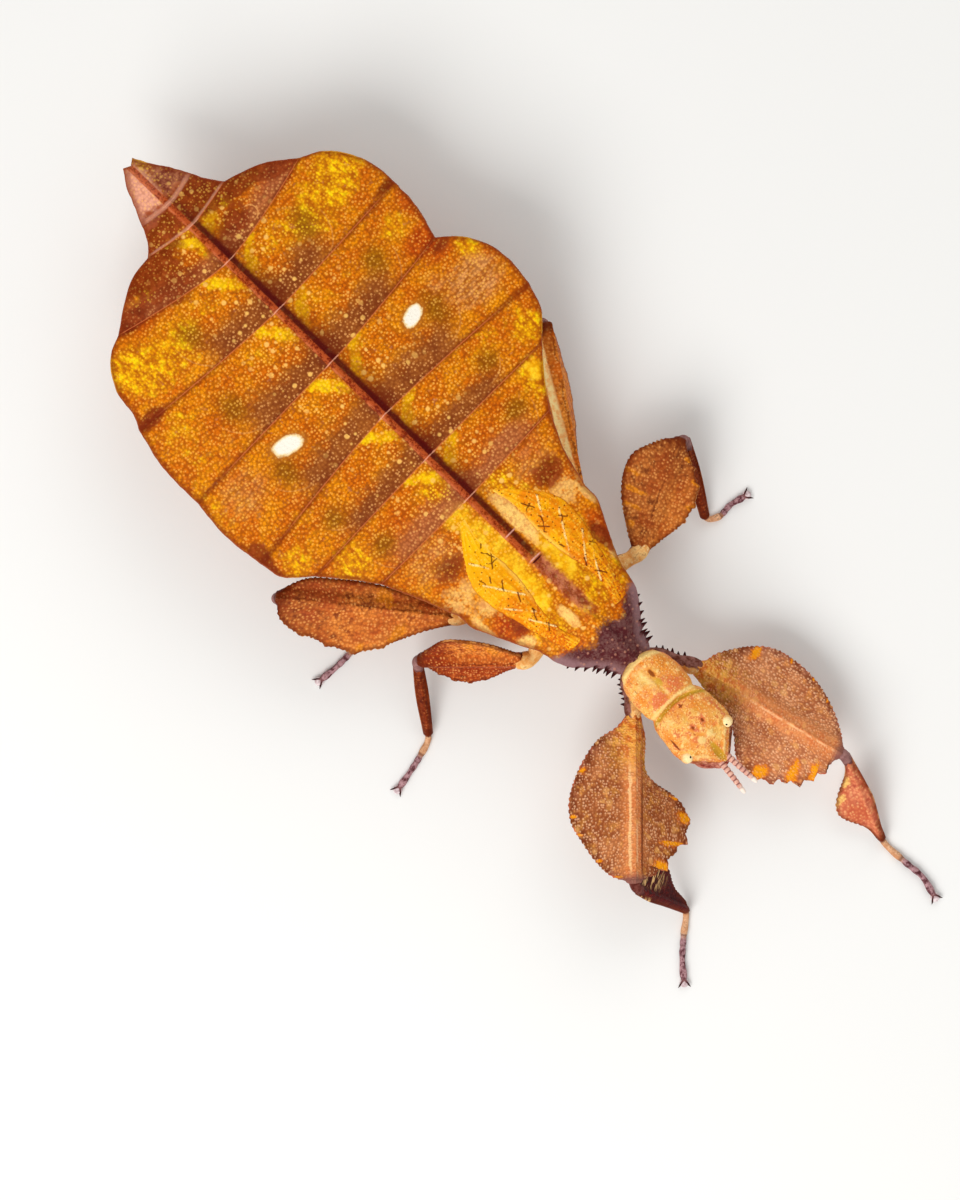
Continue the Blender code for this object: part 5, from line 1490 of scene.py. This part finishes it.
def leg_values(f):
    """What the mesh of a leg keeps for its finish: distances to rim and shaft, share, patches and side."""
    return (*map(f.kept, ("rim", "shaft", "part", "patch")), f.axis("Y"))


def femur_finish(settings, name, ground, light, warm, dark, grain, crease=0.0):
    """Fore femora: pale granules and a dark net on rosy brown, an orange shaft, dark rims and orange teeth.

    dark is the strength of the net, grain that of the granules, and crease that of the dark line of painted
    shadow below the shaft and the cream line above it.
    """
    f = Finish(name, 0.5, unrolled=True)
    rim, shaft, part, patch, across = leg_values(f)
    wide, mid, fine = f.noises((2.6, 3), (0.8, 7, 4), (0.2, 9, 3))
    f.ground(ground, light, f.fade(-0.14, 0.16, wide + mid * 0.5))
    f.paint(f.fade(0.02, 0.2, mid - wide * 0.5) * 0.7, warm)
    f.paint(f.fade(0.34, 0.1, part + mid * 0.2) * f.fade(1.0, 3.0, across + mid * 2) * 0.55, (128, 76, 52))
    edge = f.fade(1.3, 0.1, rim + mid * 1.8)
    f.paint(edge * 0.7, settings.dark, (138, 84, 76), f.fade(-0.1, 0.12, mid + wide))
    band = f.fade(1.7, 0.4, shaft + mid * 1.6)
    f.paint(band * 0.7, settings.shaft)
    f.paint(band * f.fade(-0.04, 0.12, mid + fine * 0.5) * 0.6, (212, 102, 56))
    root = f.fade(0.42, 0.12, part + mid * 0.2) * f.fade(3.2, 1.2, shaft + mid * 2)
    f.paint(root * 0.85, (244, 176, 76), (214, 112, 42), f.fade(-0.08, 0.12, mid + fine * 0.3))
    patched = f.fade(0.3, 0.75, patch + mid * 1.2 + fine * 0.6)
    glow = f.mix(f.fade(0.4, 0.9, patch + mid + fine), (214, 96, 32), settings.patch)
    f.paint(patched * 0.95, glow)
    distance, luck = f.cells(0.27, 2)
    softer = 1 - band * 0.5 - patched * 0.6
    net = f.fade(0.07, 0.16, distance + fine * 0.14 + mid * 0.08)
    f.paint(net * softer * dark, (104, 48, 32))
    granules = f.fade(0.04, -0.03, distance - (luck * 0.12 - 0.01) + mid * 0.1)
    f.paint(granules * softer * grain, settings.granule)
    blobs = f.specks(1.1, -0.3, 0.34, 12, soft=0.12)
    f.paint(blobs * 0.4, (244, 178, 104))
    if crease:
        reach = f.fade(0.98, 0.9, part)
        # Painted shadow: a dark line below the shaft
        below = f.fade(0.32, 0.06, abs(across + 0.75 + mid * 0.4)) * f.fade(0.3, 0.5, part) * reach
        f.paint(below * crease * 0.75, (112, 44, 20))
        above = f.fade(0.16, 0.05, abs(across - 0.42 + mid * 0.5)) * f.fade(0.25, 0.4, part) * reach
        f.paint(above * crease * 0.65, (250, 206, 146))
    streak = f.fade(0.14, 0.03, abs(across + 0.15 + mid * 0.3)) * f.fade(0.25, 0.4, part)
    streak = streak * f.fade(-0.12, 0.06, wide + mid)
    f.paint(streak * 0.6, (248, 196, 142))
    f.paint(f.fade(0.2, 0.02, rim + fine * 0.2) * f.fade(-0.1, 0.1, mid + wide) * 0.75, (202, 92, 60))
    f.paint(f.fade(0.93, 1.0, part + mid * 0.05) * 0.85, (118, 78, 76))
    return f.done(granules * 0.7 + fine * 0.6 + mid * 0.3 - net * 0.3, 0.07, 0.42 + mid * 0.3)


def rear_finish(settings, name, ground, light, marks, speck, bright, keel=0, knee=0, stripes=0, glow=0):
    """Mid and hind legs, and the blades of the tibiae: mottled, with specks, dark ends and a dark rim.

    bright is the colour of the patches. keel is the strength of a cream line beside the shaft, knee that of
    the dark end and stripes that of wavy lines. glow is painted light that lifts the shade on one half:
    the half outside the shaft where it is positive, and the half inside it where it is negative.
    """
    f = Finish(name, 0.5, unrolled=True)
    rim, shaft, part, patch, across = leg_values(f)
    wide, mid, fine = f.noises((2.2, 3), (0.7, 7, 4), (0.18, 9, 3))
    f.ground(ground, light, f.fade(-0.14, 0.16, wide + mid * 0.5))
    f.paint(f.fade(0.0, 0.2, mid + wide * 0.5) * 0.8, marks)
    # Painted light over one half of the blade, lifting the shade that falls there
    if glow:
        half = f.fade(-0.3, 1.4, across * math.copysign(1, glow) + mid * 3)
        half = half * f.fade(0.8, 0.5, part + mid * 0.5)
        f.paint(half * abs(glow), (236, 142, 60), (206, 100, 40), f.fade(-0.1, 0.14, mid))
    if knee:
        f.paint(f.fade(0.55, 1.0, part + mid * 0.6 + wide * 0.3) * knee, marks)
        crease = f.fade(0.14, 0.03, abs(across - 0.2 + mid * 0.9)) * f.fade(-0.14, 0.04, wide)
        f.paint(crease * 0.6, (84, 30, 14))
    patched = f.fade(0.3, 0.75, patch + mid * 1.7 + fine * 0.7)
    f.paint(patched * 0.85, bright)
    distance, luck = f.cells(0.33, 2)
    f.paint(f.fade(0.1, 0.22, distance + fine * 0.16) * 0.42, marks)
    specks = f.fade(0.05, -0.04, distance - (luck * 0.14 - 0.03) + mid * 0.1)
    f.paint(specks * 0.45, speck)
    f.paint(f.fade(0.6, 0.05, rim + mid * 0.9) * 0.75, settings.dark)
    f.paint(f.fade(0.12, 0.02, rim) * f.fade(-0.02, 0.16, mid + wide) * 0.5, speck)
    if keel:
        strip = across - part * 1.0 + mid * 0.3
        cream = f.fade(0.2, 0.45, strip) * f.fade(1.5, 1.2, strip) * f.fade(0.95, 0.85, part)
        f.paint(cream * keel, (255, 222, 150), (248, 176, 104), f.fade(-0.1, 0.14, mid))
    if stripes:
        waves = f.noise(0.5, 3, 2, f.squeezed(1.5, 0.3))
        waves = f.fade(0.0, 0.06, waves) * f.fade(0.5, 0.2, part + mid * 0.3)
        f.paint(waves * f.fade(0.3, 0.9, shaft + mid) * stripes, bright)
    f.paint(f.fade(0.9, 1.0, part + mid * 0.08) * 0.9, settings.dark)
    f.paint(f.fade(0.07, 0.01, part) * 0.7, settings.dark)
    return f.done(specks * 0.5 + fine * 0.6 + mid * 0.4, 0.06, 0.42 + mid * 0.3)


def coxa_finish(name, limit):
    """Cream to orange root of a leg, plum on its outer side beyond a limit in millimetres."""
    f = Finish(name, 0.45)
    mid, fine = f.noises((0.7, 5, 4), (0.2, 2, 2))
    f.ground((222, 148, 76), (250, 206, 134), f.fade(-0.14, 0.16, mid))
    f.paint(f.fade(0.06, 0.2, mid + fine * 0.4) * 0.6, (150, 78, 44))
    f.paint(f.specks(0.4, -0.02, 0.12, 4, "3D") * 0.6, (255, 226, 170))
    outer = f.fade(limit - 0.12, limit + 0.12, f.kept("outward") + mid * 0.7 + fine * 0.3)
    plum = f.mix(f.fade(-0.14, 0.16, mid + fine * 0.4), (84, 38, 38), (140, 92, 88))
    f.paint(outer * 0.95, plum)
    return f.done(mid + fine, 0.06)


def foot_finish():
    """Tan foot with dark rings at its joints, grey-violet towards its end."""
    f = Finish("feet", 0.45)
    mid, fine = f.noises((0.6, 5, 3), (0.2, 2, 2))
    part, joint = f.kept("part"), f.kept("joint")
    f.ground((192, 134, 96), (226, 176, 136), f.fade(-0.14, 0.16, mid))
    violet = f.mix(f.fade(-0.12, 0.1, mid + fine * 0.4), (92, 52, 56), (182, 140, 144))
    f.paint(f.fade(0.34, 0.46, part + mid * 0.1), violet)
    f.paint(joint * 0.6, (70, 38, 38))
    f.paint(f.fade(0.08, 0.03, part) * 0.8, (110, 56, 36))
    f.paint(f.fade(0.08, 0.2, fine + mid) * 0.5, (96, 60, 46))
    return f.done(fine + mid, 0.03)


def foot_surface(path, tibia_tip, finish):
    """A foot with swelling joints on a flat sole.

    Rings of the foot's radius x swelling round its line above the floor. What lies below the line is
    pressed towards the floor by a fifth more, down to the floor itself.
    """
    heel = np.asarray(tibia_tip, float) + (0.0, 0.0, -0.35)
    line = [heel] + [(along, side, FOOT_LINE) for along, side in path]
    share = np.linspace(0, 1, 120)
    radii = FOOT_RADIUS * read(FOOT_JOINTS, np.clip((share - 0.03) / 0.97, 0, 1))
    rings = rounded(tube_rings(line, share, radii, 26), 0.2)
    below = np.clip(FOOT_LINE - rings[..., 2], 0, None)
    rings[..., 2] = np.where(below > 0, FOOT_LINE - np.minimum(below * 1.2, FOOT_LINE), rings[..., 2])
    joints = np.array([place for place, size in FOOT_JOINTS if size == JOINT_WAIST])
    near = np.abs(share[:, None] - joints).min(axis=1)
    fields = {"part": share, "joint": bell(near, 0.018)}
    fields = {name: rounded_field(per_ring(field, 26)) for name, field in fields.items()}
    return Surface(rings, fields, finish)


def claw_surfaces(path):
    """Two curved claws and the pale pad between them at the end of a foot."""
    before, end = arrays(*path[-2:])
    heading = math.atan2(*(end - before)[::-1])
    surfaces = []
    for turn in (-CLAW_SPREAD, CLAW_SPREAD):
        reach = np.array((math.cos(heading + turn), math.sin(heading + turn), 0.0))
        root = np.array((*end, 0.42)) - 0.2 * reach
        tip = root + CLAW_LENGTH * reach - (0.0, 0.0, 0.26)
        surfaces.append(thorn(root, tip, CLAW_RADIUS, (0.0, 0.0, 0.16)))
    ahead = np.array((math.cos(heading), math.sin(heading), 0.0))
    pad = ball_surface(np.array((*end, 0.3)) + 0.34 * ahead, 0.48, (0.0, 0.0, 1.0), 14, 24, 0.65)
    pad.finish = 1
    return surfaces + [pad]


def leg_surfaces(name, settings, seed):
    """Root, femur, tibia and foot of one leg, each pushed a little into its neighbour."""
    coxa, femur, tibia, foot, femur_tilts, tibia_tilts = LEGS[name]
    pair, side = name.split("_")
    sign = 1 if side == "left" else -1
    root, joint, start, end, knee, tip = arrays(*coxa, *femur, *tibia)
    path = [root - unit(joint - root) * 0.4, root + (joint - root) * 0.5, joint,
            start + (start - joint) * 0.9]
    share = np.linspace(0, 1, 60)
    rings = rounded(tube_rings(path, share, COXA_RADIUS * read(COXA_RINGS, share), 30), 0.3)
    outward = (rings - rings.mean(axis=1, keepdims=True)) @ beside(joint - root, sign)
    surfaces = [Surface(rings, {"outward": outward}, 0)]
    patched = [[table.get(part + name, ()) for table in (OUTER_PATCHES, INNER_PATCHES)]
               for part in ("femur_", "tibia_")]
    shape = FEMORA[name if pair == "fore" else pair]
    space = FORE_SPACE if pair == "fore" else REAR_SPACE
    soft = 2.1 if name == "fore_left" else 1.5
    surfaces.append(blade_surface(femur, shape, femur_tilts, settings.femur_shaft / MM, settings, sign, 1,
                                  seed, space, patched[0], soft))
    hinge = [end - unit(end - start) * 0.5, (end + knee) / 2 + (0.0, 0.0, 0.1),
             knee + unit(tip - knee) * 0.8]
    surfaces.append(tube_surface(hinge, 24, 24, 0.6, 0.2, 1, 0.0, 4))
    upper = knee - unit(tip - knee) * 0.2
    shape = TIBIAE.get(name, TIBIAE[pair])
    surfaces.append(blade_surface((upper, tip), shape, tibia_tilts, settings.tibia_shaft / MM, settings,
                                  sign, 2, seed + 3, FORE_SPACE, patched[1]))
    return surfaces + [foot_surface(foot, tip, 3)]


class BuildLegs(Operator):
    """The six legs, each in one skin from its root to its foot."""

    bl_idname = "leaf.legs"
    bl_label = "Legs"

    def execute(self, context):
        """Build a skin for each leg."""
        settings = context.scene.leaf_legs
        feet, root = foot_finish(), coxa_finish("leg_roots", 0.8)
        roots = {"fore_left": coxa_finish("root_fore_left", -0.25),
                 "fore_right": coxa_finish("root_fore_right", 0.25)}
        femora = {"fore_left": femur_finish(settings, "femur_fore_left", settings.fore, (228, 150, 100),
                                            (238, 154, 84), 0.42, 0.55),
                  "fore_right": femur_finish(settings, "femur_fore_right", (162, 92, 54), (206, 130, 80),
                                             (222, 150, 74), 0.45, 0.5, 1.0)}
        for name, ground, light, marks, keel, glow in REAR_FEMORA:
            femora[name] = rear_finish(settings, "femur_" + name, ground, light, marks,
                                       (244, 170, 96), (228, 136, 38), keel, 0.5, glow=glow)
        tibia_left = rear_finish(settings, "tibia_fore_left", (200, 104, 70), (226, 140, 100),
                                 (164, 68, 54), (240, 180, 120), (248, 200, 110))
        tibia_right = rear_finish(settings, "tibia_fore_right", (72, 10, 4), (98, 22, 8),
                                  (50, 8, 4), (116, 34, 14), (238, 190, 124), stripes=1.0)
        tibia_rear = rear_finish(settings, "rear_tibiae", (112, 42, 24), (150, 68, 36),
                                 (74, 26, 16), (190, 112, 62), (190, 112, 62))
        knee = feeler_finish("knees", (120, 82, 80), (156, 114, 108), (74, 40, 36), (110, 66, 62))
        dark_knee = feeler_finish("dark_knee", (76, 28, 20), (120, 70, 62), (48, 16, 12), (70, 20, 12))
        tibiae = {"fore_left": tibia_left, "fore_right": tibia_right}
        for seed, name in enumerate(LEGS):
            finishes = [roots.get(name, root), femora[name], tibiae.get(name, tibia_rear), feet,
                        dark_knee if name == "fore_right" else knee]
            nodes = [f"{part}_{name}" for part in ("coxa", "femur", "tibia", "tarsus")]
            make_piece(f"leg_{name}_skin", leg_surfaces(name, settings, seed), finishes, nodes)
        return {"FINISHED"}


class BuildClaws(Operator):
    """Claws and the pale pad between them, for each foot."""

    bl_idname = "leaf.claws"
    bl_label = "Claws"

    def execute(self, context):
        """Build the claws of each foot as one piece."""
        claw = spine_finish()
        f = Finish("foot_pads", 0.4)
        f.ground((228, 212, 212), (176, 150, 152), f.fade(-0.2, 0.2, f.noise(0.3, 3)))
        pad = f.done(f.noise(0.1, 5), 0.02)
        for name, leg in LEGS.items():
            make_piece(f"claws_{name}", claw_surfaces(leg[3]), [claw, pad])
        return {"FINISHED"}


class StageSettings(PropertyGroup):
    """Sizes and light of the stage."""

    floor: colour("Floor", (232, 231, 228), "Pale floor")
    height: length("Camera height", 409.5, "Height of the camera above the floor")
    lens: FloatProperty(name="Lens", description="Focal length in millimetres, sensor 36 mm", default=120.0)
    key: FloatProperty(name="Main light", description="Power of main light", unit="POWER", default=1.32)
    fill: FloatProperty(name="Fill light", description="Power of light opposite", unit="POWER", default=0.5)


def soft_light(name, place, size, power):
    """A square light at a place, turned towards the middle of the insect."""
    data = bpy.data.lights.new(name, "AREA")
    data.size = size
    data.energy = power
    light = add_object(name, data)
    light.location = place
    aim = Vector((0.0, 0.0, 0.01)) - Vector(place)
    light.rotation_euler = aim.to_track_quat("-Z", "Y").to_euler()


class BuildStage(Operator):
    """Pale floor, soft light and the camera above the insect."""

    bl_idname = "leaf.stage"
    bl_label = "Stage"

    def execute(self, context):
        """Build the floor and lights and set the scene's camera."""
        settings = context.scene.leaf_stage
        mesh = bpy.data.meshes.new("floor")
        reach = np.linspace(-FLOOR_REACH, FLOOR_REACH, 5)
        x, y = np.meshgrid(reach, reach)
        points = np.column_stack((x.ravel(), y.ravel(), np.full(x.size, FLOOR_LEVEL)))
        index = np.arange(x.size).reshape(x.shape)
        faces = np.stack((index[:-1, :-1], index[:-1, 1:], index[1:, 1:], index[1:, :-1]), axis=-1)
        mesh.from_pydata(points.tolist(), [], faces.reshape(-1, 4).tolist())
        finish = Finish("pale_floor", 0.75)
        finish.ground(settings.floor, (214, 212, 206), finish.noise(40, 2) * 0.05 + 0.03)
        mesh.materials.append(finish.done())
        floor = add_object("floor", mesh)
        for name, place, size, power in LIGHTS:
            soft_light(name, place, size, getattr(settings, power))
        data = bpy.data.cameras.new("camera")
        data.lens = settings.lens
        data.clip_start = 0.01
        camera = add_object("camera", data)
        camera.location = (*CAMERA_PLACE, settings.height)
        camera.rotation_euler = (0.0, 0.0, CAMERA_TURN)
        context.scene.camera = camera
        world = bpy.data.worlds.new("soft_white")
        world.use_nodes = True
        background = world.node_tree.nodes["Background"]
        background.inputs["Color"].default_value = (1.0, 1.0, 1.0, 1.0)
        background.inputs["Strength"].default_value = WORLD_LIGHT
        context.scene.world = world
        context.scene.view_settings.view_transform = "Standard"
        return {"FINISHED"}


GROUPS = (("leaf_trunk", TrunkSettings), ("leaf_pads", PadSettings), ("leaf_head", HeadSettings),
          ("leaf_legs", LegSettings), ("leaf_stage", StageSettings))
OPERATORS = (BuildTrunk, BuildPads, BuildHead, BuildFace, BuildSpines, BuildLegs, BuildClaws, BuildStage)


class LeafPanel(Panel):
    """Every step of the insect and its settings."""

    bl_idname = "VIEW3D_PT_leaf_insect"
    bl_label = "Leaf insect"
    bl_space_type = "VIEW_3D"
    bl_region_type = "UI"
    bl_category = "Leaf insect"

    def draw(self, context):
        """List the operators, then the settings of each group."""
        for operator in OPERATORS:
            self.layout.operator(operator.bl_idname)
        for name, group in GROUPS:
            box = self.layout.box()
            settings = getattr(context.scene, name)
            for field in group.__annotations__:
                box.prop(settings, field)


def register():
    """Add the settings, operators and panel to Blender."""
    for name, group in GROUPS:
        bpy.utils.register_class(group)
        setattr(bpy.types.Scene, name, PointerProperty(type=group))
    for kind in (*OPERATORS, LeafPanel):
        bpy.utils.register_class(kind)


def unregister():
    """Take them out again."""
    for kind in (LeafPanel, *reversed(OPERATORS)):
        bpy.utils.unregister_class(kind)
    for name, group in reversed(GROUPS):
        delattr(bpy.types.Scene, name)
        bpy.utils.unregister_class(group)


def main():
    """Build every piece in order."""
    register()
    bpy.ops.leaf.trunk()
    bpy.ops.leaf.pads()
    bpy.ops.leaf.head()
    bpy.ops.leaf.face()
    bpy.ops.leaf.spines()
    bpy.ops.leaf.legs()
    bpy.ops.leaf.claws()
    bpy.ops.leaf.stage()


if __name__ == "__main__":
    main()
